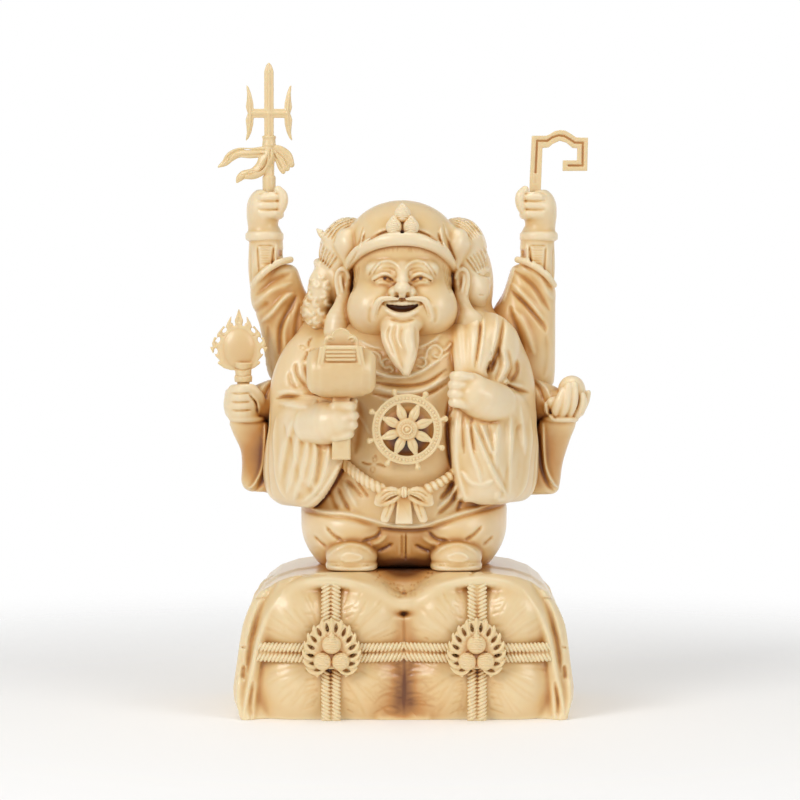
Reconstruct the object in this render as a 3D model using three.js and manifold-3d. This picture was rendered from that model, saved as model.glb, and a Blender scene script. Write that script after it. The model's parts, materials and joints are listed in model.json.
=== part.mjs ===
// Daikoku figure: a laughing lucky god with three faces and six arms, standing on two rice bales.
// Millimetres, +Z up, +X to the viewer's right, the front looks along -Y.
// The origin is the middle of the base's flat underside.
import * as THREE from 'three';
import { mergeVertices } from 'three/addons/utils/BufferGeometryUtils.js';
import Module from 'manifold-3d';

const wasm = await Module();
wasm.setup();

// Base: two bales under one cloth
const baseWidth = 133;
const baseDepth = 92;
const baseHeight = 57;
const clothSide = 8.4;
const clothOverBales = 3;
const baleStandsOut = 8;
const baleBulge = 5.5;
const ropeDiameter = 4.4;

// Figure: its pose and carving are given in parts, 148 parts making its height from soles to hat
const figureHeight = 148;
const partsInHeight = 148;

// Gap between pieces that are made apart and glued
const pieceGap = 0.3;
// How far a seat's skin may move when its slivers are cleared
const seatPlay = 0.09;

// Things in the hands, and the ornaments that are made apart
const tridentHeight = 47;
const tridentWidth = 18.4;
const tridentThickness = 2.6;
const shaftDiameter = 5.6;
const socketDepth = 4.5;
const keyHeight = 21.5;
const keyWidth = 23.5;
const keyBar = 4.8;
const keyThickness = 3.4;
const jewelDiameter = 16.6;
const jewelThickness = 6;
const flameReach = 3.8;
const flameTip = 7.4;
const flameThickness = 2.4;
const flameHoleWidth = 1.6;
const flameHoleHeight = 1.9;
const jewelNeckDiameter = 7.2;
const jewelNeckLength = 7;
const jewelStem = 0.72;
const malletLength = 26.4;
const malletDiameter = 21;
const malletHandleDiameter = 6.6;
const malletBelowBarrel = 24;
const finialWidth = 13;
const finialHeight = 7.4;
const wheelDiameter = 27.4;
const wheelRim = 2.8;
const wheelThickness = 3.2;
const hubDiameter = 8.4;
const wheelKnob = 3.2;
const hatJewelDiameter = 6.2;
const crestWidth = 23;
const crestJewelDiameter = 8;
const crestThickness = 3;

// Facets round a limb, a trunk and a ball
const limbSides = 7;
const trunkSides = 24;
const ballSides = 8;
// Most facets of each carved form
const baseFacets = 1300;
const crestFacets = 230;
const figureFacets = 3740;
const malletFacets = 240;
const wheelFacets = 540;
const raisedArmFacets = 330;
const loweredArmFacets = 290;
const tridentFacets = 380;
const flameJewelFacets = 340;

const turn = 2 * Math.PI;
const part = figureHeight / partsInHeight;
const soleZ = baseHeight + pieceGap;
const share = (from, to, t) => from + (to - from) * t;
const place = (x, y, z) => new THREE.Vector3(x * part, y * part, soleZ + z * part);

// One solid from a closed geometry, turned right side out where its winding runs the other way
function solid(geometry) {
  const bare = geometry.clone();
  bare.deleteAttribute('normal');
  bare.deleteAttribute('uv');
  const merged = mergeVertices(bare, 1e-4);
  const vertProperties = Float32Array.from(merged.attributes.position.array);
  const triVerts = Uint32Array.from(merged.index.array);
  const a = new THREE.Vector3();
  const b = new THREE.Vector3();
  const c = new THREE.Vector3();
  let volume = 0;
  for (let i = 0; i < triVerts.length; i += 3) {
    a.fromArray(vertProperties, 3 * triVerts[i]);
    b.fromArray(vertProperties, 3 * triVerts[i + 1]);
    c.fromArray(vertProperties, 3 * triVerts[i + 2]);
    volume += a.dot(b.cross(c));
  }
  if (volume < 0) {
    for (let i = 0; i < triVerts.length; i += 3) {
      [triVerts[i], triVerts[i + 1]] = [triVerts[i + 1], triVerts[i]];
    }
  }
  return new wasm.Manifold(new wasm.Mesh({ numProp: 3, vertProperties, triVerts }));
}

const joined = (solids) => solids.reduce((whole, next) => whole.add(next));
const cutBy = (whole, tools) => tools.reduce((rest, tool) => rest.subtract(tool), whole);

// A closed skin over rings of points, with a fan over each end
function skin(rings) {
  const count = rings[0].length;
  const points = rings.flat();
  const index = [];
  for (let r = 0; r + 1 < rings.length; r += 1) {
    for (let i = 0; i < count; i += 1) {
      const next = (i + 1) % count;
      const low = r * count;
      const high = low + count;
      index.push(low + i, low + next, high + next, low + i, high + next, high + i);
    }
  }
  for (const [ring, flip] of [[0, false], [rings.length - 1, true]]) {
    const middle = new THREE.Vector3();
    rings[ring].forEach((point) => middle.add(point));
    points.push(middle.divideScalar(count));
    for (let i = 0; i < count; i += 1) {
      const here = ring * count + i;
      const next = ring * count + ((i + 1) % count);
      index.push(points.length - 1, flip ? here : next, flip ? next : here);
    }
  }
  const geometry = new THREE.BufferGeometry();
  geometry.setAttribute('position', new THREE.Float32BufferAttribute(
    points.flatMap((point) => [point.x, point.y, point.z]), 3));
  geometry.setIndex(index);
  return solid(geometry);
}

// Squared distance of a point to a set of planes, kept as the ten numbers of a symmetric 4 x 4 matrix
function planeSum(normal, offset, weight) {
  const n = [normal.x, normal.y, normal.z, offset];
  const sum = [];
  for (let row = 0; row < 4; row += 1) {
    for (let column = row; column < 4; column += 1) sum.push(weight * n[row] * n[column]);
  }
  return sum;
}

function distanceTo(sum, { x, y, z }) {
  return sum[0] * x * x + 2 * sum[1] * x * y + 2 * sum[2] * x * z + 2 * sum[3] * x
    + sum[4] * y * y + 2 * sum[5] * y * z + 2 * sum[6] * y + sum[7] * z * z + 2 * sum[8] * z + sum[9];
}

// Joining leaves many small facets along each seam. Here the edges that show least are drawn together
// until few enough facets are left. An edge goes only where the skin stays closed and no facet turns over.
// The skin moves by no more than the given distance.
function thinned(geometry, mostFacets, mostShift = Infinity) {
  const position = geometry.attributes.position;
  const spots = Array.from({ length: position.count }, (_,
    i) => new THREE.Vector3().fromBufferAttribute(position, i));
  const facets = [];
  for (let i = 0; i < geometry.index.count; i += 3) {
    facets.push([0, 1, 2].map((corner) => geometry.index.getX(i + corner)));
  }
  const around = spots.map(() => new Set());
  const sums = spots.map(() => new Array(10).fill(0));
  const areas = spots.map(() => 0);
  const crossOf = ([a, b, c], moved = {}) => {
    const at = (i) => moved[i] ?? spots[i];
    return at(b).clone().sub(at(a)).cross(at(c).clone().sub(at(a)));
  };
  facets.forEach((facet, f) => {
    const cross = crossOf(facet);
    const area = cross.length();
    const normal = cross.divideScalar(area || 1);
    const sum = planeSum(normal, -normal.dot(spots[facet[0]]), area);
    facet.forEach((corner) => {
      around[corner].add(f);
      areas[corner] += area;
      sum.forEach((value, k) => { sums[corner][k] += value; });
    });
  });
  const neighboursOf = (i) => new Set([...around[i]].flatMap((f) => facets[f]).filter((corner) => corner
    !== i));
  let left = facets.length;
  const smallestPass = 4;
  const passShare = 0.12;
  const shortEdgeWeight = 2e-3;
  let collapsed = Infinity;
  while (left > mostFacets && collapsed > smallestPass) {
    const edges = [];
    spots.forEach((spot, a) => {
      neighboursOf(a).forEach((b) => {
        if (b < a) return;
        const sum = sums[a].map((value, k) => value + sums[b][k]);
        const options = [spot, spots[b], spot.clone().lerp(spots[b], 0.5)];
        const costs = options.map((option) => Math.max(0, distanceTo(sum, option)));
        const best = costs.indexOf(Math.min(...costs));
        if (costs[best] > mostShift ** 2 * (areas[a] + areas[b])) return;
        const cost = costs[best] + shortEdgeWeight * spot.distanceToSquared(spots[b]);
        edges.push({ a, b, sum, to: options[best].clone(), cost });
      });
    });
    edges.sort((one, other) => one.cost - other.cost);
    const touched = new Set();
    collapsed = 0;
    for (const { a, b, sum, to } of edges.slice(0, Math.ceil(edges.length * passShare))) {
      if (left <= mostFacets) break;
      if (touched.has(a) || touched.has(b)) continue;
      const ringA = neighboursOf(a);
      const ringB = neighboursOf(b);
      const shared = [...ringA].filter((corner) => ringB.has(corner));
      if (shared.length !== 2) continue;
      const gone = [...around[a]].filter((f) => around[b].has(f));
      const kept = [...around[a], ...around[b]].filter((f) => !gone.includes(f));
      const moved = { [a]: to, [b]: to };
      const folds = kept.some((f) => {
        const before = crossOf(facets[f]);
        const after = crossOf(facets[f], moved);
        return before.dot(after) < 0.35 * before.length() * after.length() || after.length() < 1e-3;
      });
      if (folds) continue;
      gone.forEach((f) => facets[f].forEach((corner) => around[corner].delete(f)));
      around[b].forEach((f) => {
        facets[f] = facets[f].map((corner) => (corner === b ? a : corner));
        around[a].add(f);
      });
      around[b].clear();
      spots[a] = to;
      sums[a] = sum;
      areas[a] += areas[b];
      [a, b, ...ringA, ...ringB].forEach((corner) => touched.add(corner));
      left -= gone.length;
      collapsed += 1;
    }
  }
  const alive = facets.filter((facet, f) => around[facet[0]].has(f));
  const used = [...new Set(alive.flat())];
  const order = new Map(used.map((corner, i) => [corner, i]));
  const light = new THREE.BufferGeometry();
  light.setAttribute('position', new THREE.Float32BufferAttribute(
    used.flatMap((corner) => [spots[corner].x, spots[corner].y, spots[corner].z]), 3));
  light.setIndex(alive.flat().map((corner) => order.get(corner)));
  return light;
}

function geometryOf(whole) {
  const { vertProperties, triVerts } = whole.getMesh();
  const geometry = new THREE.BufferGeometry();
  geometry.setAttribute('position', new THREE.Float32BufferAttribute(vertProperties, 3));
  geometry.setIndex(Array.from(triVerts));
  return geometry;
}

// Forms joined to one solid with few facets; seats for other pieces are cut after this
const carved = (forms, mostFacets) => solid(thinned(geometryOf(joined(forms)), mostFacets));

// The largest of the bodies in a geometry: a cut can leave crumbs that nothing holds
function mainBody(geometry) {
  const index = Array.from(geometry.index.array);
  const leader = Array.from({ length: geometry.attributes.position.count }, (_, i) => i);
  const leaderOf = (i) => {
    let top = i;
    while (leader[top] !== top) top = leader[top];
    return top;
  };
  for (let i = 0; i < index.length; i += 3) {
    leader[leaderOf(index[i])] = leaderOf(index[i + 1]);
    leader[leaderOf(index[i + 1])] = leaderOf(index[i + 2]);
  }
  const facetsIn = new Map();
  index.forEach((corner) => facetsIn.set(leaderOf(corner), (facetsIn.get(leaderOf(corner)) ?? 0) + 1));
  const [largest] = [...facetsIn].sort((one, other) => other[1] - one[1])[0];
  geometry.setIndex(index.filter((corner) => leaderOf(corner) === largest));
  return geometry;
}

// A form with its seats cut, less the crumbs and slivers that the cut left along their edges
const seated = (whole, tools) => solid(thinned(mainBody(geometryOf(cutBy(whole, tools))), 0, seatPlay));

// The room that a neighbour needs: the form itself and copies of it moved by the gap
const everyWay = [[1, 0, 0], [-1, 0, 0], [0, 1, 0], [0, -1, 0], [0, 0, 1], [0, 0, -1]];
function roomAround(whole, moves = everyWay) {
  const copies = moves.map((move) => whole.translate(move.map((value) => value * pieceGap)));
  return joined([whole, ...copies]);
}

// An ellipsoid with its middle at a point and its half axes in millimetres
function ball(middle, radii, { tilt = [0, 0, 0], sides = ballSides, rows = 5 } = {}) {
  const geometry = new THREE.SphereGeometry(1, sides, rows);
  geometry.rotateX(Math.PI / 2);
  geometry.scale(...radii);
  geometry.applyMatrix4(new THREE.Matrix4().makeRotationFromEuler(new THREE.Euler(...tilt)));
  geometry.translate(middle.x, middle.y, middle.z);
  return solid(geometry);
}

// A limb or fold: oval sections along a smooth path, with rounded ends.
// A station is [middle, half width, half depth]; the half depth lies along the reference direction.
function limb(stations, { sides = limbSides, steps = 4, toward = [0, 1, 0], fold = () => 1 } = {}) {
  const path = new THREE.CatmullRomCurve3(stations.map((station) => station[0]));
  const girth = new THREE.CatmullRomCurve3(
    stations.map((station) => new THREE.Vector3(station[1], station[2], 0)));
  const reference = new THREE.Vector3(...toward);
  const ring = (t, along, shrink) => {
    const middle = path.getPoint(t);
    const tangent = path.getTangent(t);
    const depth = reference.clone().addScaledVector(tangent, -reference.dot(tangent)).normalize();
    const width = depth.clone().cross(tangent);
    const size = girth.getPoint(t);
    middle.addScaledVector(tangent, along * Math.min(size.x, size.y));
    return Array.from({ length: sides }, (_, i) => {
      const angle = turn * i / sides;
      const puff = fold(t, angle) * shrink;
      return middle.clone()
        .addScaledVector(width, size.x * puff * Math.cos(angle))
        .addScaledVector(depth, size.y * puff * Math.sin(angle));
    });
  };
  const rings = [ring(0, -0.7, 0.55)];
  for (let step = 0; step <= steps; step += 1) rings.push(ring(step / steps, 0, 1));
  rings.push(ring(1, 0.7, 0.55));
  return skin(rings);
}

// A trunk: level rings with their own width, front depth and back depth.
// A level is [height, middle x, half width, front, back], all in parts of the figure.
function trunk(levels, { sides = trunkSides, steps = 10, fold = () => 1, lift = () => 0 } = {}) {
  const spine = new THREE.CatmullRomCurve3(
    levels.map(([z, x]) => new THREE.Vector3(x, 0, z)));
  const girth = new THREE.CatmullRomCurve3(
    levels.map(([, , width, front, back]) => new THREE.Vector3(width, front, back)));
  const rings = [];
  for (let step = 0; step <= steps; step += 1) {
    const t = step / steps;
    const middle = spine.getPoint(t);
    const size = girth.getPoint(t);
    rings.push(Array.from({ length: sides }, (_, i) => {
      const angle = turn * i / sides;
      const puff = fold(t, angle);
      const depth = Math.sin(angle) < 0 ? size.y : size.z;
      return place(
        middle.x + size.x * puff * Math.cos(angle),
        depth * puff * Math.sin(angle),
        middle.z + lift(t, angle));
    }));
  }
  return skin(rings);
}

// A flat plate cut from an outline in the front view, its middle plane at the given depth
function plate(shape, thickness, depth, { bevel = 0, curveSegments = 6 } = {}) {
  const geometry = new THREE.ExtrudeGeometry(shape, {
    depth: thickness - 2 * bevel,
    bevelEnabled: bevel > 0,
    bevelThickness: bevel,
    bevelSize: bevel,
    bevelOffset: -bevel,
    bevelSegments: 1,
    curveSegments,
  });
  geometry.translate(0, 0, bevel - thickness / 2);
  geometry.rotateX(Math.PI / 2);
  geometry.translate(0, depth, 0);
  return solid(geometry);
}

// A turned form about an upright axis, from [radius, height] pairs that start and end on the axis
function turned(profile, middle, { sides = 16, axis = 'Z' } = {}) {
  const geometry = new THREE.LatheGeometry(profile.map(([r, z]) => new THREE.Vector2(r, z)), sides);
  if (axis === 'Z') geometry.rotateX(Math.PI / 2);
  if (axis === 'X') geometry.rotateZ(-Math.PI / 2);
  geometry.translate(middle.x, middle.y, middle.z);
  return solid(geometry);
}

function block(low, high) {
  const geometry = new THREE.BoxGeometry(high[0] - low[0], high[1] - low[1], high[2] - low[2]);
  geometry.translate((low[0] + high[0]) / 2, (low[1] + high[1]) / 2, (low[2] + high[2]) / 2);
  return solid(geometry);
}

const pin = (middle, radius, low, high, sides = 12) => turned(
  [[0, low], [radius, low], [radius, high], [0, high]], middle, { sides });

const outline = (points) => new THREE.Shape(points.map(([x, z]) => new THREE.Vector2(x, z)));

// Stations of a limb on the figure: [x, y, z, half width, half depth] in parts
const stationsOf = (rows) => rows.map(([x, y, z, width, depth = width]) => (
  [place(x, y, z), width * part, depth * part]));
const figureLimb = (rows, options) => limb(stationsOf(rows), options);
const figureBall = (x, y, z, rx, ry, rz, options) => ball(
  place(x, y, z), [rx * part, ry * part, rz * part], options);

// Base: bales, cloth, ropes
const balesPressed = 0.6;
const baleHalfWidth = (baseWidth / 2 - clothSide + balesPressed) / 2;
const baleMiddle = baleHalfWidth - balesPressed;
const baleHalfHeight = (baseHeight - clothOverBales) / 2;
const clothFront = -baseDepth / 2 + baleStandsOut;
const clothBack = baseDepth / 2;
const baleFace = -baseDepth / 2;

// A point of a rounded square: the higher the power, the squarer
const squarish = (angle, halfWidth, halfHeight, power) => {
  const across = Math.cos(angle);
  const up = Math.sin(angle);
  return [
    Math.sign(across) * halfWidth * Math.abs(across) ** (2 / power),
    Math.sign(up) * halfHeight * Math.abs(up) ** (2 / power),
  ];
};

// How far the bale's end stands back from its foremost point, at a share of its half size
const baleDip = (across) => baleBulge * 1.7 * Math.abs(across) ** 4;

function bale(side) {
  const sides = 24;
  const roundTop = 2.3;
  const saggingFoot = 3.4;
  const front = [0.3, 0.55, 0.75, 0.9, 1].map((size) => [baleFace + baleDip(size), size]);
  const rings = [...front, [clothBack - clothOverBales, 1]].map(([y, size]) => (
    Array.from({ length: sides }, (_, i) => {
      const angle = turn * i / sides;
      const power = Math.sin(angle) < 0 ? saggingFoot : roundTop;
      const [x, z] = squarish(angle, baleHalfWidth * size, baleHalfHeight * size, power);
      return new THREE.Vector3(side * baleMiddle + x, y, baleHalfHeight + z);
    })));
  return skin(rings);
}

function rope(side, upright, offset) {
  const radius = ropeDiameter / 2;
  const reach = upright ? baleHalfHeight : baleHalfWidth;
  const stations = [-0.95, -0.75, -0.4, 0, 0.4, 0.75, 0.95].map((t) => {
    const y = baleFace + baleDip(t) + radius * 0.2;
    const x = side * baleMiddle + (upright ? offset : t * reach);
    const z = baleHalfHeight + (upright ? t * reach : offset);
    return [new THREE.Vector3(x, y, z), radius, radius];
  });
  return limb(stations, { sides: 5, steps: 6, toward: upright ? [1, 0, 0] : [0, 0, 1] });
}

const ropeSpacing = ropeDiameter * 0.98;
const ropesOfBale = (side) => [-0.5, 0.5].flatMap((pair) => [
  rope(side, true, pair * ropeSpacing),
  rope(side, false, pair * ropeSpacing),
]);

// Cloth laid over both bales: a loaf with upright folds that grow towards its foot
function cloth() {
  const sides = 26;
  const stepCount = 9;
  const halfWidth = baseWidth / 2 - 0.6;
  const foldDepth = 1.2;
  const foldLength = 19;
  const rings = [];
  for (let step = 0; step <= stepCount; step += 1) {
    const y = share(clothFront, clothBack, step / stepCount);
    const fromEnd = Math.min(1, Math.min(step + 0.7, stepCount - step + 0.35) / 1.8);
    const tuck = 0.95 + 0.05 * Math.sqrt(1 - (1 - fromEnd) ** 2);
    rings.push(Array.from({ length: sides }, (_, i) => {
      const angle = Math.PI * i / (sides - 1);
      const [x, z] = squarish(angle, halfWidth * tuck, baseHeight, 3.8);
      const side = Math.min(1, Math.max(0, Math.abs(x) / halfWidth - 0.75) * 5);
      const fold = foldDepth * side * (1 - 0.6 * z / baseHeight) * Math.sin(turn * y / foldLength
        + x * 0.05);
      const foot = 2.5 * (1 - Math.min(1, z / 14)) ** 2;
      return new THREE.Vector3(x + Math.sign(x) * (fold - foot), y, Math.min(z, baseHeight));
    }));
  }
  return skin(rings);
}

// The opening that the cloth's front hem leaves round the bale ends
function hemOpening() {
  const room = 1.2;
  const deep = 7;
  const top = 2 * baleHalfHeight + 0.2;
  const valley = top - 11;
  const shape = new THREE.Shape();
  const out = 2 * baleHalfWidth + room;
  shape.moveTo(-out, -5);
  shape.lineTo(-out - room, baleHalfHeight * 0.7);
  shape.bezierCurveTo(-out, top * 0.86, -out * 0.72, top, -out * 0.5, top);
  shape.bezierCurveTo(-out * 0.26, top, -out * 0.14, valley + 2, 0, valley);
  shape.bezierCurveTo(out * 0.14, valley + 2, out * 0.26, top, out * 0.5, top);
  shape.bezierCurveTo(out * 0.72, top, out, top * 0.86, out + room, baleHalfHeight * 0.7);
  shape.lineTo(out, -5);
  return plate(shape, 2 * deep, clothFront, { curveSegments: 7 });
}

function makeBase() {
  const hollowed = cloth().subtract(hemOpening());
  const bales = [-1, 1].flatMap((side) => [bale(side), ...ropesOfBale(side)]);
  const whole = carved([hollowed, ...bales], baseFacets);
  return seated(whole, [block([-baseWidth, -baseDepth, -baseHeight], [baseWidth, baseDepth, 0])]);
}

// A crest: three round jewels in a ring of flame, laid on the end of a bale
function flameRing(inner, outer, tongues) {
  const shape = new THREE.Shape();
  const steps = tongues * 3;
  for (let i = 0; i < steps; i += 1) {
    const angle = turn * (i / steps) + 0.3;
    const crown = 0.5 + 0.5 * Math.sin(angle);
    const beat = [0, 0.7, 1][i % 3];
    const radius = share(inner, outer * (1 + 0.1 * crown), beat);
    const lean = beat * 0.06 * Math.sign(Math.cos(angle));
    const point = [radius * Math.cos(angle + lean), radius * Math.sin(angle + lean)];
    if (i === 0) shape.moveTo(...point);
    else shape.lineTo(...point);
  }
  shape.closePath();
  return shape;
}

function makeCrest(side, baseRoom) {
  const radius = crestJewelDiameter / 2;
  const middle = new THREE.Vector3(side * baleMiddle, baleFace - crestThickness * 0.6, baleHalfHeight);
  const flame = plate(
    flameRing(crestWidth * 0.38, crestWidth * 0.5, 10), crestThickness, 0)
    .translate([middle.x, middle.y, middle.z]);
  const seats = [[0, 0.95], [-1, -0.62], [1, -0.62]];
  const jewels = seats.map(([x, z]) => ball(
    new THREE.Vector3(middle.x + x * radius * 0.98, middle.y - crestThickness * 0.35,
      middle.z + z * radius),
    [radius, radius * 0.9, radius * 1.05], { sides: 8, rows: 5 }));
  return seated(carved([flame, ...jewels], crestFacets), [baseRoom]);
}

// Figure: legs, coat, sack and sleeves
const sleeveFold = (count, deep, from = 0) => (t, angle) => (
  1 + deep * share(from, 1, t) * Math.cos(count * angle + 2.2 * t));

function bodyForms() {
  const forms = [];
  for (const side of [-1, 1]) {
    forms.push(figureBall(side * 20.3, 2, 14.5, 22.2, 27, 22, { sides: 12, rows: 7 }));
    forms.push(figureBall(side * 25.5, 9, 114, 11, 14.5, 20, { sides: 9, rows: 6 }));
    forms.push(figureBall(side * 24, 15, 124, 12, 17, 16, { sides: 9, rows: 5 }));
  }
  forms.push(figureBall(0, 4, 17, 13, 22, 13));
  const skirt = [
    [17, 0, 40.5, 30, 30], [23, 0, 41.2, 31, 31], [29, 0, 40, 32.5, 31], [35, 0, 38, 34, 31],
      [42, 0, 36, 34, 30]];
  forms.push(trunk(skirt, {
    steps: 3,
    sides: 24,
    fold: (t, angle) => 1 + 0.022 * (1 - t) * Math.cos(8 * angle),
    lift: (t, angle) => 6 * (1 - t) * Math.cos(angle) ** 2,
  }));
  const torso = [
    [31, 0, 34, 33.5, 29], [38, 0, 36, 37, 31], [47, 0, 37, 38.6, 31.5], [56, 0, 37, 37.4, 31.5],
    [65, 0, 37, 34.4, 31], [74, 0, 38, 31.5, 30], [82, 0, 39, 29.5, 28], [90, 0, 37.5, 26, 25],
      [97, 0, 27, 20, 20]];
  forms.push(trunk(torso, { steps: 7, sides: 20 }));
  // Sack on the back, gathered over the right shoulder
  forms.push(figureBall(13, 25, 72, 36, 23, 32, { sides: 12, rows: 7 }));
  forms.push(figureLimb(
    [[25, -25, 84, 5, 4], [25, -17, 92, 5.6, 4.5], [25, -4, 98, 7, 5.5], [22, 12, 98, 10, 8]],
    { toward: [0, 0.6, 0.8], sides: 7, steps: 3 }));
  // Upper arms of the front pair
  forms.push(figureLimb(
    [[-32, 4, 84, 12, 13], [-38, 2, 78, 11, 14], [-42.5, 0, 66, 10.6, 15], [-44, -3, 54, 10.6, 14]]));
  forms.push(figureLimb(
    [[32, 4, 84, 12, 13], [38, 2, 78, 11, 14], [41.5, 0, 66, 10.6, 15], [42.5, -3, 54, 10.4, 14]]));
  // Forearms in their sleeves
  forms.push(figureLimb(
    [[-44, -6, 57, 12, 12], [-37, -22, 58, 11.5, 11.5], [-31.5, -33, 59, 8.5, 9]], { toward: [0, 0, 1],
      steps: 2 }));
  forms.push(figureLimb(
    [[43, -6, 57, 12, 12], [38, -20, 61, 11.5, 11.5], [32, -31, 66.5, 8.5, 9]], { toward: [0, 0, 1],
      steps: 2 }));
  // Hanging sleeves
  forms.push(figureLimb(
    [[-38, -17, 60, 9.5, 16], [-38.5, -19, 51, 11.2, 22], [-39, -19.5, 42, 11, 23.5],
      [-41, -19, 34, 10, 20.5],
      [-42.6, -17.5, 27, 7, 15]],
    { sides: 14, steps: 4, toward: [0.56, -0.83, 0], fold: sleeveFold(4, 0.08, 0.2) }));
  forms.push(figureLimb(
    [[38, -17, 62, 9.5, 16], [38, -19, 52, 11.2, 22], [37.5, -19.5, 42, 11, 23.5], [37.5, -20, 33, 10, 23],
      [38, -20, 27.5, 7.5, 18]],
    { sides: 14, steps: 4, toward: [-0.58, -0.81, 0], fold: sleeveFold(4, 0.08, 0.2) }));
  return forms;
}

// A closed hand round an upright shaft: four stacked fingers as one lobed form, and a thumb
function fist(x, y, z, size, { inward = 1, thumbHigh = 0.75 } = {}) {
  const fingers = 4;
  const knuckles = (t, angle) => {
    const front = Math.max(0, -Math.sin(angle)) ** 0.5;
    return 1 - 0.13 * front * Math.abs(Math.cos(fingers * Math.PI * t)) - 0.1 * (1 - front);
  };
  return [
    figureLimb([[x, y, z - size * 0.5, size * 0.86, size * 0.82], [x, y, z, size * 0.94, size * 0.9],
      [x, y, z + size * 0.5, size * 0.86, size * 0.82]], { sides: 8, steps: 2 * fingers, fold: knuckles }),
    figureLimb([
      [x + inward * size * 0.6, y, z - size * 0.1, size * 0.32],
      [x + inward * size * 0.95, y - size * 0.4, z + size * 0.35, size * 0.28],
      [x + inward * size * 0.8, y - size * 0.62, z + size * thumbHigh, size * 0.24]],
        { sides: 5, steps: 2 }),
  ];
}

// Head: skull, cheeks, laughing mouth, moustache, beard, long ears
function headForms() {
  const forms = [
    figureBall(-0.5, -9, 113, 20, 20, 22, { sides: 12, rows: 7 }),
    figureBall(-0.5, -14, 100, 19, 15, 12.5, { sides: 10 }),
    figureBall(-0.6, -29.6, 109.5, 4.4, 4.4, 3.2, { sides: 6, rows: 4 }),
    figureLimb(
      [[-0.6, -25.5, 98, 8.5, 5.5], [-0.6, -29.5, 91, 7.4, 4.8], [-0.5, -33, 83.5, 5, 3.4],
        [-0.3, -34.6, 77, 1.6, 1.6]],
      { sides: 9, steps: 3, fold: (t, angle) => 1 + 0.08 * Math.cos(3 * angle) }),
  ];
  for (const side of [-1, 1]) {
    forms.push(figureBall(side * 11.5 - 0.6, -18.5, 103.5, 10.8, 11.5, 11.5, { sides: 9 }));
    forms.push(figureLimb(
      [[side * 4 - 0.6, -27.4, 119.5, 1.2, 1.4], [side * 9 - 0.6, -25.8, 121.2, 1.5, 1.6],
        [side * 14.5 - 0.6, -21.5, 117.5, 1, 1.4]],
      { sides: 5, steps: 3 }));
    forms.push(figureLimb(
      [[side * 5 - 0.6, -27.4, 113.6, 1, 1.4], [side * 9 - 0.6, -26.6, 115, 1.2, 1.6],
        [side * 13.5 - 0.6, -23.6, 113.6, 0.8, 1.4]],
      { sides: 5, steps: 2 }));
    forms.push(figureLimb(
      [[side * 1.5 - 0.6, -31, 105.6, 1.3, 1.4], [side * 8 - 0.6, -31, 105.4, 1.6, 1.5],
        [side * 12 - 0.6, -29.5, 101, 1.3, 1.3], [side * 12.6 - 0.6, -27.8, 96.5, 0.7, 0.8]],
      { sides: 5, steps: 4 }));
    forms.push(figureBall(side * 25.6 - 0.8, -7, 113, 3.4, 4.5, 7.2, { sides: 7, rows: 5 }));
    forms.push(figureLimb(
      [[side * 25.5 - 0.8, -9, 110, 3.4, 3.4], [side * 26 - 0.8, -11, 103, 3.2, 2.8],
        [side * 25 - 0.8, -14, 96.5, 2.6, 2.2]],
      { sides: 6, steps: 2 }));
  }
  return forms;
}

function mouthCut() {
  return [
    figureLimb(
      [[-8.6, -33.5, 104, 1.2, 3], [-4.6, -34.5, 102, 1.9, 3.4], [-0.6, -34.5, 101.4, 2.1, 3.4],
        [3.4, -34.5, 102, 1.9, 3.4],
        [7.4, -33.5, 104, 1.2, 3]], { sides: 6, steps: 4 }),
    ...[-1, 1].map((side) => figureBall(side * 26.2 - 0.8, -11.4, 113.6, 1.5, 2.4, 4, { sides: 5,
      rows: 4 })),
  ];
}

// Soft cap with a rolled brim and a puffed lobe at each side
function hatForms() {
  const forms = [
    figureBall(-0.7, -6, 124, 21.6, 21.5, 21.4, { sides: 14, rows: 8 }),
    figureLimb(
      [[-24.5, 0, 117.5, 3, 2.4], [-21.5, -15, 122.5, 3.2, 2.6], [-12.5, -25.8, 127.2, 3.3, 2.7],
        [-0.7, -29, 128.8, 3.4, 2.8],
        [11.1, -25.8, 127.2, 3.3, 2.7], [20.1, -15, 122.5, 3.2, 2.6], [23, 0, 117.5, 3, 2.4]],
      { sides: 5, steps: 8, toward: [0, 0, 1] }),
  ];
  for (const side of [-1, 1]) {
    forms.push(figureBall(side * 22.6 - 0.7, -4, 128.4, 6.4, 10, 9.4));
    forms.push(figureLimb(
      [[side * 17.5 - 0.7, -19, 125, 1.6, 1.6], [side * 18.2 - 0.7, -13, 133, 2.2, 1.8],
        [side * 14.5 - 0.7, -6, 140, 1.2, 1.2]],
      { sides: 5, steps: 2 }));
  }
  return forms;
}

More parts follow.
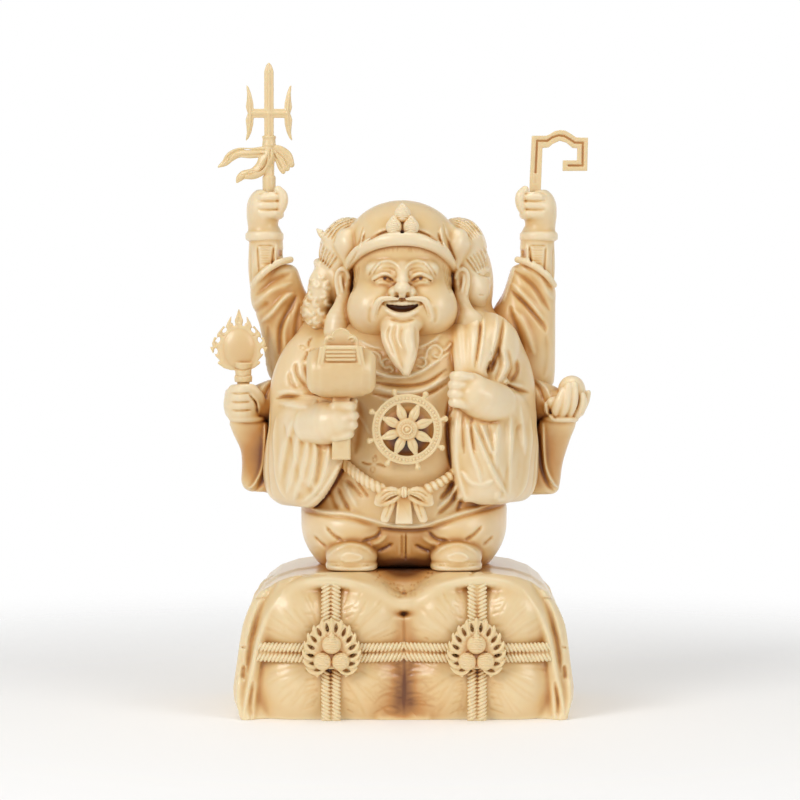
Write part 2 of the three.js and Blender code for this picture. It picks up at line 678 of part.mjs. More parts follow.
// The two side faces: brow, nose, mouth, chin, and combed locks in rows
function sideHeadForms() {
  const forms = [];
  for (const side of [-1, 1]) {
    const reach = side < 0 ? 36 : 34.4;
    forms.push(figureLimb([[side * (reach - 3.5), 0, 120, 1.6], [side * (reach - 0.8), 4, 121, 1.8],
      [side * (reach - 2), 9, 119, 1.4]],
      { sides: 5, steps: 2 }));
    forms.push(figureLimb([[side * (reach - 1.6), 3, 119, 1.6], [side * (reach + 0.2), 3, 113.5, 2.1]],
      { sides: 5, steps: 1 }));
    forms.push(figureBall(side * (reach - 2.4), 3.4, 107, 2.6, 3.6, 1.8, { sides: 6, rows: 4 }));
    forms.push(figureBall(side * (reach - 4), 4, 101.5, 3.4, 4.4, 3, { sides: 6, rows: 4 }));
    const locks = 4;
    for (let lock = 0; lock < locks; lock += 1) {
      const t = lock / (locks - 1);
      const lean = share(-0.25, 0.9, t);
      forms.push(figureLimb([
        [side * (23 + 9 * Math.sin(lean)), share(-2, 12, t), 132 + 4 * Math.cos(lean), 1.8, 2],
        [side * (25 + 10.5 * Math.sin(lean)), share(0, 15, t), 128 + 4 * Math.cos(lean), 2, 2.2],
        [side * (25.5 + 11.5 * Math.sin(lean)), share(1, 17, t), 121 + 3 * Math.cos(lean), 1.6, 2]],
      { sides: 5, steps: 2 }));
    }
    // Scalloped collar under the face
    for (let scallop = 0; scallop < 3; scallop += 1) {
      forms.push(figureBall(side * (reach - 1 - scallop * 1.6), share(-4, 8, scallop / 2), 98.5, 3, 4.2,
        5, { sides: 6, rows: 4 }));
    }
  }
  return forms;
}

// Dress in front: collar, rolled edges of cloth, belt bow, fold ridges on the sleeves
function dressForms() {
  const forms = [
    figureLimb([[-25, -18, 88, 1.6, 2], [-15, -28.5, 79.5, 1.9, 2.2], [0, -32.2, 75.8, 2, 2.2],
      [13, -29.5, 78.8, 1.9, 2.2],
      [23, -21, 86, 1.6, 2]], { sides: 5, steps: 6 }),
    figureLimb([[-22, -27, 75, 1.2, 1.6], [-9, -33.5, 70.8, 1.4, 1.8], [6, -33.8, 70.6, 1.4, 1.8],
      [20, -28, 75, 1.2, 1.6]],
      { sides: 5, steps: 5 }),
    figureLimb([[-25, -31, 43, 1.8, 2], [-13, -36.5, 36, 2, 2.2], [0, -38, 33.6, 2, 2.2],
      [11, -37.2, 34.6, 2, 2.2],
      [22, -32.5, 40, 1.8, 2]], { sides: 5, steps: 6 }),
    figureBall(0, -37.4, 29.8, 3.4, 2.8, 2.8, { sides: 6, rows: 4 }),
  ];
  for (const side of [-1, 1]) {
    forms.push(figureLimb([[side * 3, -37.6, 30.4, 1.2, 1.4], [side * 8.5, -37, 30.2, 2.7, 1.8],
      [side * 12.5, -35.6, 28.4, 1.6, 1.4]],
      { sides: 5, steps: 2 }));
    forms.push(figureLimb([[side * 1.6, -37, 28, 1.6, 1.2], [side * 5, -35, 22.5, 2.2, 1.3],
      [side * 7, -33, 18.6, 2.4, 1.2]],
      { sides: 5, steps: 2 }));
    // Folds that fan from the belt down the skirt
    for (const [x, spread] of [[13, 5], [20, 9], [27, 12]]) {
      forms.push(figureLimb([[side * x, -33.8 + x * x * 0.012, 34, 1.2, 1.8],
        [side * (x + spread * 0.6), -31.5 + x * x * 0.014, 25, 1.7, 2],
        [side * (x + spread), -27.5 + x * x * 0.012, 19.5, 1, 1.4]], { sides: 4, steps: 2 }));
    }
    // Shoes: toe cap and sole
    forms.push(figureBall(side * 20.9 - 0.2, -23.5, 4.2, 10.2, 13, 6, { sides: 10, rows: 6 }));
  }
  // Open cuff of each front sleeve
  forms.push(figureLimb([[-31, -36, 49, 2, 4], [-36, -36, 38, 2.4, 4], [-41, -31, 28, 2, 3.4]],
    { sides: 5, steps: 3 }));
  forms.push(figureLimb([[22, -36, 60, 2, 4], [21, -37, 45, 2.2, 4], [24, -36, 30, 2.2, 3.6]],
    { sides: 5, steps: 3 }));
  // Gathered end of the sack above and below the right fist
  forms.push(figureLimb([[25, -33, 79, 6.4, 4.4], [24.5, -27, 88, 5.6, 4], [25, -19, 94, 6.4, 4]],
    { sides: 9, steps: 3, fold: (t, angle) => 1 + 0.1 * Math.cos(3 * angle) }));
  forms.push(figureLimb([[29, -34, 60, 5.4, 4.4], [31, -34, 48, 6.6, 4.6], [34, -32, 36, 4.4, 3.4]],
    { sides: 9, steps: 3, fold: (t, angle) => 1 + 0.1 * Math.cos(3 * angle) }));
  return forms;
}

// Places of the fists and of what they hold, in parts
const malletFist = [-27, -41, 59];
const sackFist = [26.4, -38, 69];
const malletAxis = [-24.2, -41.5];
const malletHigh = 78.2;
const wheelSeat = [1.2, -38.2, 55.6];

function makeMallet() {
  const middle = place(...malletAxis, malletHigh);
  const half = malletLength / 2;
  const radius = malletDiameter / 2;
  const barrel = turned(
    [[0, -half], [radius * 0.84, -half], [radius * 0.96, -half * 0.55], [radius, 0],
      [radius * 0.96, half * 0.55],
      [radius * 0.84, half], [0, half]], middle, { sides: 14, axis: 'X' });
  const handle = pin(middle, malletHandleDiameter / 2, -malletDiameter / 2 - malletBelowBarrel, 0, 8);
  const forms = [barrel, handle];
  const bandHalf = malletLength * 0.33;
  const bandRadius = 1.1;
  const bands = 4;
  for (let band = 0; band < bands; band += 1) {
    const out = radius * 1.07 - band * 0.1;
    const angle = share(0.2, 0.98, band / (bands - 1));
    const [y, z] = [middle.y - out * Math.cos(angle), middle.z + out * Math.sin(angle)];
    const ends = [-bandHalf, bandHalf].map((aside) => [new THREE.Vector3(middle.x + aside, y, z),
      bandRadius, bandRadius]);
    forms.push(limb(ends, { sides: 4, steps: 1 }));
  }
  const cloud = new THREE.Shape();
  const w = finialWidth / 2;
  cloud.moveTo(-w, -2);
  cloud.quadraticCurveTo(-w * 1.1, finialHeight * 0.5, -w * 0.62, finialHeight * 0.62);
  cloud.quadraticCurveTo(-w * 0.45, finialHeight, 0, finialHeight);
  cloud.quadraticCurveTo(w * 0.45, finialHeight, w * 0.62, finialHeight * 0.62);
  cloud.quadraticCurveTo(w * 1.1, finialHeight * 0.5, w, -2);
  forms.push(plate(cloud, 4.4, 0, { curveSegments: 3 })
    .translate([middle.x, middle.y - 3.4, middle.z + malletDiameter / 2 - 0.6]));
  return carved(forms, malletFacets);
}

// Wheel of the law: rim, hub, eight leaf spokes and eight knobs
function makeWheel() {
  const middle = place(...wheelSeat);
  const outer = wheelDiameter / 2;
  const inner = outer - wheelRim;
  const half = wheelThickness / 2;
  const rim = new THREE.LatheGeometry([
    new THREE.Vector2(inner, -half), new THREE.Vector2(outer, -half), new THREE.Vector2(outer, half * 0.5),
    new THREE.Vector2(inner, half), new THREE.Vector2(inner, -half)], 24);
  const forms = [solid(rim)];
  const spokes = 8;
  for (let spoke = 0; spoke < spokes; spoke += 1) {
    const angle = turn * (spoke + 0.45) / spokes;
    const leaf = new THREE.SphereGeometry(1, 6, 4);
    leaf.scale((inner - hubDiameter * 0.25) / 2, half * 0.7, 2.1);
    leaf.translate((inner + hubDiameter * 0.25) / 2 + 0.4, 0, 0);
    leaf.rotateY(angle);
    forms.push(solid(leaf));
    const knob = new THREE.SphereGeometry(wheelKnob / 2, 5, 4);
    knob.scale(1.2, 1, 1);
    knob.translate(outer + wheelKnob * 0.4, 0, 0);
    knob.rotateY(angle);
    forms.push(solid(knob));
  }
  const hub = new THREE.LatheGeometry([
    new THREE.Vector2(0, -half), new THREE.Vector2(hubDiameter / 2, -half),
      new THREE.Vector2(hubDiameter / 2, half * 0.7),
    new THREE.Vector2(0, half * 1.4)], 12);
  forms.push(solid(hub));
  return carved(forms, wheelFacets).rotate([180, 0, 0]).translate([middle.x, middle.y, middle.z]);
}

// The room that the wheel needs in the belly: a round seat that follows its size
function wheelRoom() {
  const middle = place(...wheelSeat);
  const radius = wheelDiameter / 2 + wheelKnob + pieceGap;
  const front = -wheelThickness * 3;
  const back = wheelThickness / 2 + pieceGap;
  return turned([[0, front], [radius, front], [radius, back], [0, back]],
    new THREE.Vector3(), { sides: 16 })
    .rotate([-90, 0, 0]).translate([middle.x, middle.y, middle.z]);
}

function makeFigure(mallet, hatJewels) {
  const floor = block([-figureHeight, -figureHeight, -figureHeight], [figureHeight, figureHeight, soleZ]);
  const forms = [
    ...bodyForms(), ...headForms(), ...hatForms(), ...sideHeadForms(), ...dressForms(),
    ...fist(...malletFist, 9.2, { inward: 1, thumbHigh: 0.6 }),
    ...fist(...sackFist, 10, { inward: 1, thumbHigh: 0.5 }),
  ];
  const rooms = [roomAround(mallet), wheelRoom(), roomAround(hatJewels)];
  return seated(carved(forms, figureFacets), [floor, ...mouthCut(), ...rooms]);
}

function makeHatJewels() {
  const radius = hatJewelDiameter / 2;
  const seats = [[0, 0, 1.05], [-0.92, -0.1, -0.58], [0.92, -0.1, -0.58]];
  return joined(seats.map(([x, y, z]) => {
    const middle = place(-0.7, -25.4, 135.4);
    middle.x += x * radius;
    middle.y += y * radius + 2.4 * (z > 0 ? 1 : 0);
    middle.z += z * radius;
    return ball(middle, [radius, radius, radius * 1.12], { sides: 8, rows: 5 });
  }));
}

// Side arms, made apart and set on behind the shoulders
const tridentFist = [-55.6, 10, 143];
const keyFist = [53.8, 10, 143];
const loweredFist = [64.2, -2, 65];

function raisedArm(side, [x, y, z], figureRoom, socket) {
  const shoulder = [
    [side * 33, 15, 84, 13, 9], [side * 43, 14, 90, 14.5, 9.5], [side * 50, 12, 103, 12, 9],
      [side * 53, 11, 112, 9, 8.4]];
  const drape = [
    [side * 54.2, 12, 108, 8, 8], [side * 53.6, 12, 96, 9, 8.5], [side * 52.6, 12, 84, 9.6, 8],
      [side * 51, 12, 74, 8, 6.5]];
  const opening = [[side * 37, 14, 94, 12, 9], [side * 44, 12, 107, 11, 9.4],
    [side * 51, 10.6, 117, 10.4, 9.6]];
  const forearm = [[side * 54.4, 11, 112, 6.8], [x, 10.4, 122, 7.4], [x, y, 131, 6.8], [x, y, 138, 6.4]];
  const braceletHigh = 130.4;
  const ring = 2.2;
  const forms = [
    figureLimb(shoulder, { sides: 9, steps: 4, fold: (t,
      angle) => 1 + 0.05 * Math.cos(3 * angle + 9 * t) }),
    figureLimb(drape, { sides: 9, steps: 3, fold: sleeveFold(3, 0.08, 0.3) }),
    figureLimb(opening, { sides: 9, steps: 2 }),
    figureLimb(forearm, { sides: 8, steps: 3 }),
    pin(place(x, y, braceletHigh), 7.9 * part, -ring * part, ring * part, 10),
    ...fist(x, y, z, 8.6, { inward: -side, thumbHigh: 0.8 }),
  ];
  return seated(carved(forms, raisedArmFacets), [figureRoom, socket]);
}

function loweredForms(side) {
  const [x, y, z] = loweredFist;
  const arm = [
    [side * 40, 14, 66, 10, 10], [side * 50, 9, 65, 8.6, 9], [side * 58, 3, 64, 7.4, 7.4],
      [side * (x - 1), y, z - 3, 6.4, 6.4]];
  const sleeve = [
    [side * 62.8, -0.6, 57, 7.4, 7], [side * 60.4, 3, 50, 8.2, 8], [side * 58.6, 6, 42, 8.8, 8.4],
      [side * 58, 7, 33, 8.6, 8],
    [side * 57.8, 7, 30.6, 8, 7]];
  const inner = [[side * 47, 12, 60, 8, 8], [side * 53, 10, 48, 7, 7], [side * 54, 9, 38, 5.5, 6]];
  return [
    figureLimb(arm, { sides: 8, steps: 3, toward: [0, 0, 1] }),
    figureLimb(sleeve, { sides: 10, steps: 4, fold: sleeveFold(3, 0.09, 0.2) }),
    pin(place(side * x, -1.6, 57.6), 7.7 * part, -1.6 * part, 1.8 * part, 10),
    figureLimb(inner, { sides: 6, steps: 2 }),
  ];
}

function flameJewelArm(rooms) {
  const [x, y, z] = loweredFist;
  const forms = [...loweredForms(-1), ...fist(-x, y, z, 8.6, { inward: 1, thumbHigh: 0.9 })];
  return seated(carved(forms, loweredArmFacets), rooms);
}

// The open hand whose upright fingers cup a round jewel, jewel and hand in one
function roundJewelArm(rooms) {
  const [x, y, z] = loweredFist;
  const forms = [
    ...loweredForms(1),
    figureBall(x - 1, y + 0.6, z - 0.8, 7.6, 6.6, 8.2),
    figureBall(x + 3.2, y - 0.6, z + 4, 5.8, 5.8, 6.6),
    figureLimb([[x + 7, y + 1, z - 5, 2.4], [x + 9.4, y - 1, z - 1, 2.2], [x + 8.6, y - 3, z + 3.4, 1.7]],
      { sides: 5, steps: 2 }),
  ];
  const fingers = 4;
  for (let finger = 0; finger < fingers; finger += 1) {
    const t = finger / (fingers - 1);
    const start = share(-6.4, 4.6, t);
    const rise = share(2.8, 7.4, t);
    forms.push(figureLimb([
      [x + start, y - 4.4, z - 6, 1.7],
      [x + start + 0.4, y - 6.6, z - 1 + rise * 0.3, 1.8],
      [x + start + 1.8, y - 5.4, z + rise * 0.9, 1.4]], { sides: 5, steps: 2 }));
  }
  return seated(carved(forms, loweredArmFacets), rooms);
}

const above = ([x, y, z], aside, height) => place(x + aside, y, z + height);
const tridentFoot = above(tridentFist, 1.4, 7.6);
const keyFoot = above(keyFist, -0.9, 7.6);
const jewelFoot = above(loweredFist, -2 * loweredFist[0], 7.8);
const restWidth = 2.4;
const upIn = (shape, foot) => shape.translate([foot.x, foot.y, foot.z]);

// A socket and, round its mouth, the flat rest that the thing in it stands on
function roundSocket(foot, diameter, restDiameter = diameter) {
  const high = figureHeight * 0.1;
  return upIn(joined([
    pin(new THREE.Vector3(), diameter / 2 + pieceGap, -socketDepth - pieceGap, high),
    pin(new THREE.Vector3(), restDiameter / 2 + restWidth, -pieceGap, high)]), foot);
}

function keySocket() {
  const halfWidth = keyBar / 2 + pieceGap;
  const halfDepth = keyThickness / 2 + pieceGap;
  const high = figureHeight * 0.1;
  return upIn(joined([
    block([-halfWidth, -halfDepth, -socketDepth - pieceGap], [halfWidth, halfDepth, high]),
    pin(new THREE.Vector3(), halfWidth + restWidth, -pieceGap, high)]), keyFoot);
}

// Trident: a central blade, two crescent side blades on a bar, a ribbon tied under the collar
function makeTrident() {
  const shaft = shaftDiameter / 2;
  const knot = 12;
  const collarLow = 17.4;
  const collarHigh = 22;
  const bar = collarHigh + 8;
  const barHalf = 2;
  const bladeTop = tridentHeight + 4;
  const blade = 1.9;
  const sideReach = tridentWidth / 2;
  const barReach = sideReach * 0.78;
  const sideTall = 11;
  const bladeShape = outline([
    [-blade, collarHigh - 1], [blade, collarHigh - 1], [blade, bladeTop - 3.4],
      [blade * 0.7, bladeTop - 1.2], [0, bladeTop],
    [-blade * 0.7, bladeTop - 1.2], [-blade, bladeTop - 3.4]]);
  const forms = [
    pin(new THREE.Vector3(), shaft, -socketDepth, collarLow, 10),
    turned([[0, collarLow - 1], [2.8, collarLow], [2.3, collarLow + 2.2], [2.6, collarHigh],
      [0, collarHigh]],
      new THREE.Vector3(), { sides: 8 }),
    plate(bladeShape, tridentThickness, 0, { bevel: 0.5 }),
    plate(outline([[-barReach, bar - barHalf], [barReach, bar - barHalf], [barReach, bar + barHalf],
      [-barReach, bar + barHalf]]), tridentThickness, 0),
  ];
  for (const side of [-1, 1]) {
    const tip = side * sideReach;
    const belly = side * (sideReach - 3.2);
    const back = side * (sideReach - 0.9);
    const cusp = side * (sideReach + 0.5);
    const crescent = new THREE.Shape();
    crescent.moveTo(tip, bar + sideTall);
    crescent.quadraticCurveTo(belly, bar + sideTall * 0.62, side * (sideReach - 2.9), bar);
    crescent.quadraticCurveTo(belly, bar - sideTall * 0.62, tip, bar - sideTall);
    crescent.quadraticCurveTo(back, bar - sideTall * 0.4, side * (sideReach - 0.1), bar - 1.4);
    crescent.lineTo(cusp, bar);
    crescent.lineTo(side * (sideReach - 0.1), bar + 1.4);
    crescent.quadraticCurveTo(back, bar + sideTall * 0.4, tip, bar + sideTall);
    forms.push(plate(crescent, tridentThickness * 0.85, 0, { curveSegments: 3 }));
  }
  // A ribbon's row is [x, z, half width, half depth, y]
  const ribbon = (rows, steps) => limb(
    rows.map(([x, z, width, depth, y = 0]) => [new THREE.Vector3(x, y, z), width, depth]), { sides: 6,
      steps });
  const upperTail = [
    [-0.5, 14.6, 2, 1.3], [-7, 15.4, 2.2, 1.2, -0.6], [-13, 14.6, 2, 1.1], [-17.4, 10.8, 1.4, 0.9],
      [-20, 8.6, 0.5, 0.7]];
  const lowerTail = [[-0.5, 11, 2, 1.4], [-5, 7, 1.9, 1.2, -0.8], [-9.4, 5.4, 1.9, 1.1],
    [-12.4, 3.4, 1.4, 0.9]];
  const outerLoop = [[0.5, 14.6, 1.6, 1.4], [5, 13.2, 2.6, 1.6, -0.4], [8.6, 10.6, 2.4, 1.4],
    [9.4, 9.2, 1.4, 1]];
  const innerLoop = [[0.5, 13.4, 1.6, 1.4], [3.8, 10.6, 2.2, 1.6, -0.6], [6, 8.4, 1.7, 1.2]];
  forms.push(
    ball(new THREE.Vector3(0, -0.6, knot), [3.4, 3, 3.6]),
    ribbon(upperTail, 5), ribbon(lowerTail, 4), ribbon(outerLoop, 3), ribbon(innerLoop, 3));
  return upIn(carved(forms, tridentFacets), tridentFoot);
}

// Key of the storehouse: one bar bent over an arch and back on itself, with a groove along its middle
function keyOutline(inset) {
  const half = keyBar / 2 - inset;
  const left = 0;
  const right = keyWidth - keyBar;
  const low = inset > 0 ? 5 : -socketDepth;
  const top = keyHeight - keyBar / 2;
  const arch = 2.6;
  const hookLow = keyHeight * 0.42;
  const hookLeft = keyWidth * 0.55 - keyBar / 2 + inset;
  const archFrom = keyWidth * 0.27;
  const archTo = keyWidth * 0.62;
  const archMiddle = (archFrom + archTo) / 2;
  const shape = new THREE.Shape();
  shape.moveTo(left - half, low);
  shape.lineTo(left - half, top + half);
  shape.lineTo(archFrom - half * 0.4, top + half);
  shape.quadraticCurveTo(archMiddle, top + half + 2 * arch, archTo + half * 0.4, top + half);
  shape.lineTo(right + half, top + half - 0.6);
  shape.lineTo(right + half, hookLow - half);
  shape.lineTo(hookLeft, hookLow - half);
  shape.lineTo(hookLeft, hookLow + half);
  shape.lineTo(right - half, hookLow + half);
  shape.lineTo(right - half, top - half - 0.6);
  shape.lineTo(archTo - half * 0.4, top - half);
  shape.quadraticCurveTo(archMiddle, top - half + 2 * arch, archFrom + half * 0.4, top - half);
  shape.lineTo(left + half, top - half);
  shape.lineTo(left + half, low);
  shape.closePath();
  return shape;
}

function makeKey() {
  const grooveInset = keyBar / 2 - 0.55;
  const groove = plate(keyOutline(grooveInset), keyThickness, -keyThickness + 0.6, { curveSegments: 6 });
  return upIn(plate(keyOutline(0), keyThickness, 0, { curveSegments: 6 }).subtract(groove), keyFoot);
}

// Wishing jewel in flames, on a short ringed stalk
function makeFlameJewel() {
  const radius = jewelDiameter / 2;
  const middle = jewelNeckLength + radius * 0.86;
  const inner = radius + 0.4;
  const outer = radius + flameReach;
  const tongues = 11;
  const shape = new THREE.Shape();
  const steps = tongues * 4;
  const from = -0.27 * Math.PI;
  const to = 1.27 * Math.PI;
  for (let i = 0; i <= steps; i += 1) {
    const angle = share(from, to, i / steps);
    const crown = Math.max(0, Math.sin(angle)) ** 8;
    const beat = [0.7, 0.85, 1, 0.75][i % 4];
    const radiusHere = share(inner, outer + (flameTip - flameReach) * crown, beat);
    const point = [radiusHere * Math.cos(angle), middle + radiusHere * Math.sin(angle)];
    if (i === 0) shape.moveTo(...point);
    else shape.lineTo(...point);
  }
  shape.closePath();
  const holes = 6;
  for (let hole = 0; hole < holes; hole += 1) {
    const side = hole < holes / 2 ? -1 : 1;
    const angle = Math.PI / 2 + side * share(0.75, 1.65, (hole % 3) / 2);
    const eye = new THREE.Path();
    const away = radius + flameReach * 0.42;
    const [x, z] = [away * Math.cos(angle), middle + away * Math.sin(angle)];
    eye.absellipse(x, z, flameHoleWidth / 2, flameHoleHeight / 2, 0, turn, false, angle - Math.PI / 2);
    shape.holes.push(eye);
  }
  const neck = jewelNeckDiameter / 2;
  const forms = [
    plate(shape, flameThickness, 0, { curveSegments: 3 }),
    ball(new THREE.Vector3(0, 0, middle), [radius, jewelThickness / 2, radius * 1.04],
      { sides: 14, rows: 6 }),
    turned([[0, -socketDepth], [neck * jewelStem, -socketDepth], [neck * jewelStem, 0.3], [neck, 0.5],
      [neck, 2], [neck * 0.8, 4.4],
      [neck * 1.1, jewelNeckLength + 0.6], [0, jewelNeckLength + 1.4]], new THREE.Vector3(), { sides: 9 }),
  ];
  return upIn(carved(forms, flameJewelFacets), jewelFoot);
}

// Materials: one boxwood-coloured cast resin, a little paler on the small castings
const castCream = () => new THREE.MeshStandardMaterial({ color: 0xe8cea0, roughness: 0.48, metalness: 0,
  flatShading: true });
const castPale = () => new THREE.MeshStandardMaterial({ color: 0xefdab2, roughness: 0.45, metalness: 0,
  flatShading: true });

function piece(name, whole, material) {
  const geometry = geometryOf(whole);
  geometry.computeVertexNormals();
  const mesh = new THREE.Mesh(geometry, material);
  mesh.name = name;
  return mesh;
}

const base = makeBase();
const baseRoom = roomAround(base, [[0, -1, 0]]);
const mallet = makeMallet();
const hatJewels = makeHatJewels();
const figure = makeFigure(mallet, hatJewels);
const figureRoom = roomAround(figure);
const tridentArm = raisedArm(-1, tridentFist, figureRoom, roundSocket(tridentFoot, shaftDiameter));
const keyArm = raisedArm(1, keyFist, figureRoom, keySocket());
const jewelSocket = roundSocket(jewelFoot, jewelNeckDiameter * jewelStem, jewelNeckDiameter);

const group = new THREE.Group();
group.add(
  piece('base', base, castCream()),
  piece('bale_crest_left', makeCrest(-1, baseRoom), castPale()),
  piece('bale_crest_right', makeCrest(1, baseRoom), castPale()),
  piece('figure', figure, castCream()),
  piece('hat_jewels', hatJewels, castPale()),
  piece('mallet', mallet, castPale()),
  piece('wheel', makeWheel(), castPale()),
  piece('trident_arm', tridentArm, castCream()),
  piece('key_arm', keyArm, castCream()),
  piece('flame_jewel_arm', flameJewelArm([figureRoom, roomAround(tridentArm), jewelSocket]), castCream()),
  piece('round_jewel_arm', roundJewelArm([figureRoom, roomAround(keyArm)]), castCream()),
  piece('trident', makeTrident(), castPale()),
  piece('key', makeKey(), castPale()),
  piece('flame_jewel', makeFlameJewel(), castPale()),
);

export default group;
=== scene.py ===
# %% [markdown]
# # A laughing lucky god in cream resin
# This lesson builds a table figure about 26 cm tall: a stout, laughing god with three faces and six arms, who
# stands on two rice bales. The real one is cast in resin coloured like boxwood. The casting has soft, rounded
# carving, a brown wash left in the recesses and a satin wax on top.
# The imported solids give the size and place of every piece. Each piece here is modelled again, with the fine
# carving, inside the room that its solid holds.

# %% The frame and its box
import json
import math

import bpy
import numpy as np
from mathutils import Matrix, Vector

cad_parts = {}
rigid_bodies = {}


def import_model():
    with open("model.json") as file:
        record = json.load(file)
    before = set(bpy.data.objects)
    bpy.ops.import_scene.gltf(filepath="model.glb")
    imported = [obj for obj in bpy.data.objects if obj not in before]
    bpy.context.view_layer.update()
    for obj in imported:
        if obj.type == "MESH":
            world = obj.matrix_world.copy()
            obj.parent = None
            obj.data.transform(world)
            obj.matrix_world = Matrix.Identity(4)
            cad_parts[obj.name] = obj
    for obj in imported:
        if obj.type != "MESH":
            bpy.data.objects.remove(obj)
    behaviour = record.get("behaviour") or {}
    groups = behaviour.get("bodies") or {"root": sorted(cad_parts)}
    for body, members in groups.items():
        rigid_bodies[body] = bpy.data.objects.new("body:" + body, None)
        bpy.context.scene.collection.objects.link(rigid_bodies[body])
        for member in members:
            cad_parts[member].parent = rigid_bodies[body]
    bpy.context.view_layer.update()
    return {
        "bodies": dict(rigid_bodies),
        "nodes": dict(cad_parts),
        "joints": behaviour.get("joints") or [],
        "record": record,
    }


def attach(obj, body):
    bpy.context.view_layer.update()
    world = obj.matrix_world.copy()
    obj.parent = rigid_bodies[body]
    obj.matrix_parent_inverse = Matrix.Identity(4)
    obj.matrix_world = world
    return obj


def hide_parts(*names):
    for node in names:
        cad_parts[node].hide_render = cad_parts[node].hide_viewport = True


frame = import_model()
MM = 0.001
print("frame nodes:", ", ".join(sorted(frame["nodes"])))

# %% [markdown]
# ## Digital clay
# The original of such a figure is modelled in clay or carved in boxwood, and then moulded. A mesh is a poor
# stand-in for clay: two forms that run into each other leave a hard seam, and each fold would need its own
# faces. So each piece starts as a block of digital clay. The block is an even grid, and every grid point
# holds its distance to the surface in millimetres, below 0 inside. Two forms melt together where the two
# distances are blended, and a tool that presses a line into the clay only has to change the distances near
# that line.

# %% Clay: the block
FAR = 5.0  # mm, what an empty grid point holds
MARGIN = 1.5  # mm round a form that are worked on with it


class Clay:
    """A block of clay: distances in mm on an even grid between two corners."""

    def __init__(self, low, high, grain):
        self.low = np.array(low, np.float32)
        self.grain = grain
        counts = np.ceil((np.array(high) - self.low) / grain).astype(int) + 1
        self.field = np.full(counts, FAR, np.float32)

    def window(self, low, high):
        """The part of the grid inside a box: its slices, and its x, y and z as thin arrays."""
        counts = self.field.shape
        start = np.clip(np.floor((np.array(low) - self.low) / self.grain).astype(int), 0, counts)
        stop = np.clip(np.ceil((np.array(high) - self.low) / self.grain).astype(int) + 1, 0, counts)
        ranges = [self.low[k] + self.grain * np.arange(start[k], stop[k], dtype=np.float32) for k in range(3)]
        x, y, z = ranges
        return tuple(map(slice, start, stop)), x[:, None, None], y[None, :, None], z[None, None, :]

    def add(self, form, blend=0.8):
        """Presses a form on. Blend is the width in mm over which the two surfaces melt together."""
        self.melt(form, blend, np.minimum, 1)

    def cut(self, form, blend=0.5):
        """Takes a form out, with an edge rounded over the blend."""
        self.melt(form, blend, np.maximum, -1)

    def melt(self, form, blend, choose, sign):
        low, high, distance = form
        slices, x, y, z = self.window(low - blend - MARGIN, high + blend + MARGIN)
        if min(x.size, y.size, z.size) == 0:
            return
        here = self.field[slices]
        there = sign * distance(x, y, z)
        rounding = np.maximum(blend - np.abs(here - there), 0) ** 2 / (4 * blend)
        self.field[slices] = choose(here, there) - sign * rounding


# %% [markdown]
# ## Forms to build with
# A sculptor builds a figure from lumps, rolls and slabs. A lump is an egg with three half axes. A roll
# follows a smooth curve through a few stations, and has its own radius at each; it can be flattened, which
# makes it a ribbon. A slab is an outline with a thickness. A drum is a stack of rounded ovals, for a body or
# a skirt. Each function gives the two corners of the form's box and a function for the distance.

# %% Clay: curves
def through(points, spacing):
    """A smooth line through the given points (any number of columns), sampled about every spacing mm."""
    points = np.array(points, float)
    if len(points) == 2:
        points = np.array([points[0], points.mean(0), points[1]])
    padded = np.vstack([2 * points[0] - points[1], points, 2 * points[-1] - points[-2]])
    line = []
    for k in range(len(points) - 1):
        a, b, c, d = padded[k:k + 4]
        count = max(1, int(np.ceil(np.linalg.norm((c - b)[:3]) / spacing)))
        t = np.arange(count)[:, None] / count
        line.append(0.5 * (2 * b + (c - a) * t + (2 * a - 5 * b + 4 * c - d) * t ** 2
                           + (3 * b - a - 3 * c + d) * t ** 3))
    return np.vstack(line + [points[-1:]])


def turned_about(angles):
    """Rotation matrix for a turn about X, then Y, then Z, in degrees."""
    a, b, c = np.radians(angles)
    about_x = np.array([[1, 0, 0], [0, math.cos(a), -math.sin(a)], [0, math.sin(a), math.cos(a)]])
    about_y = np.array([[math.cos(b), 0, math.sin(b)], [0, 1, 0], [-math.sin(b), 0, math.cos(b)]])
    about_z = np.array([[math.cos(c), -math.sin(c), 0], [math.sin(c), math.cos(c), 0], [0, 0, 1]])
    return about_z @ about_y @ about_x


# %% Clay: lumps and rolls
def egg(middle, radii, turn=(0, 0, 0)):
    """An ellipsoid. The distance is the usual close guess, exact on the surface."""
    middle = np.array(middle, np.float32)
    radii = np.array(radii, np.float32)
    axes = turned_about(turn).astype(np.float32)
    reach = np.sqrt(((axes * radii) ** 2).sum(1))

    def distance(x, y, z):
        dx, dy, dz = x - middle[0], y - middle[1], z - middle[2]
        own = [axes[0, k] * dx + axes[1, k] * dy + axes[2, k] * dz for k in range(3)]
        near = sum((own[k] / radii[k]) ** 2 for k in range(3))
        steep = sum((own[k] / radii[k] ** 2) ** 2 for k in range(3))
        return (near - np.sqrt(near)) / np.sqrt(np.maximum(steep, 1e-9))

    return middle - reach, middle + reach, distance


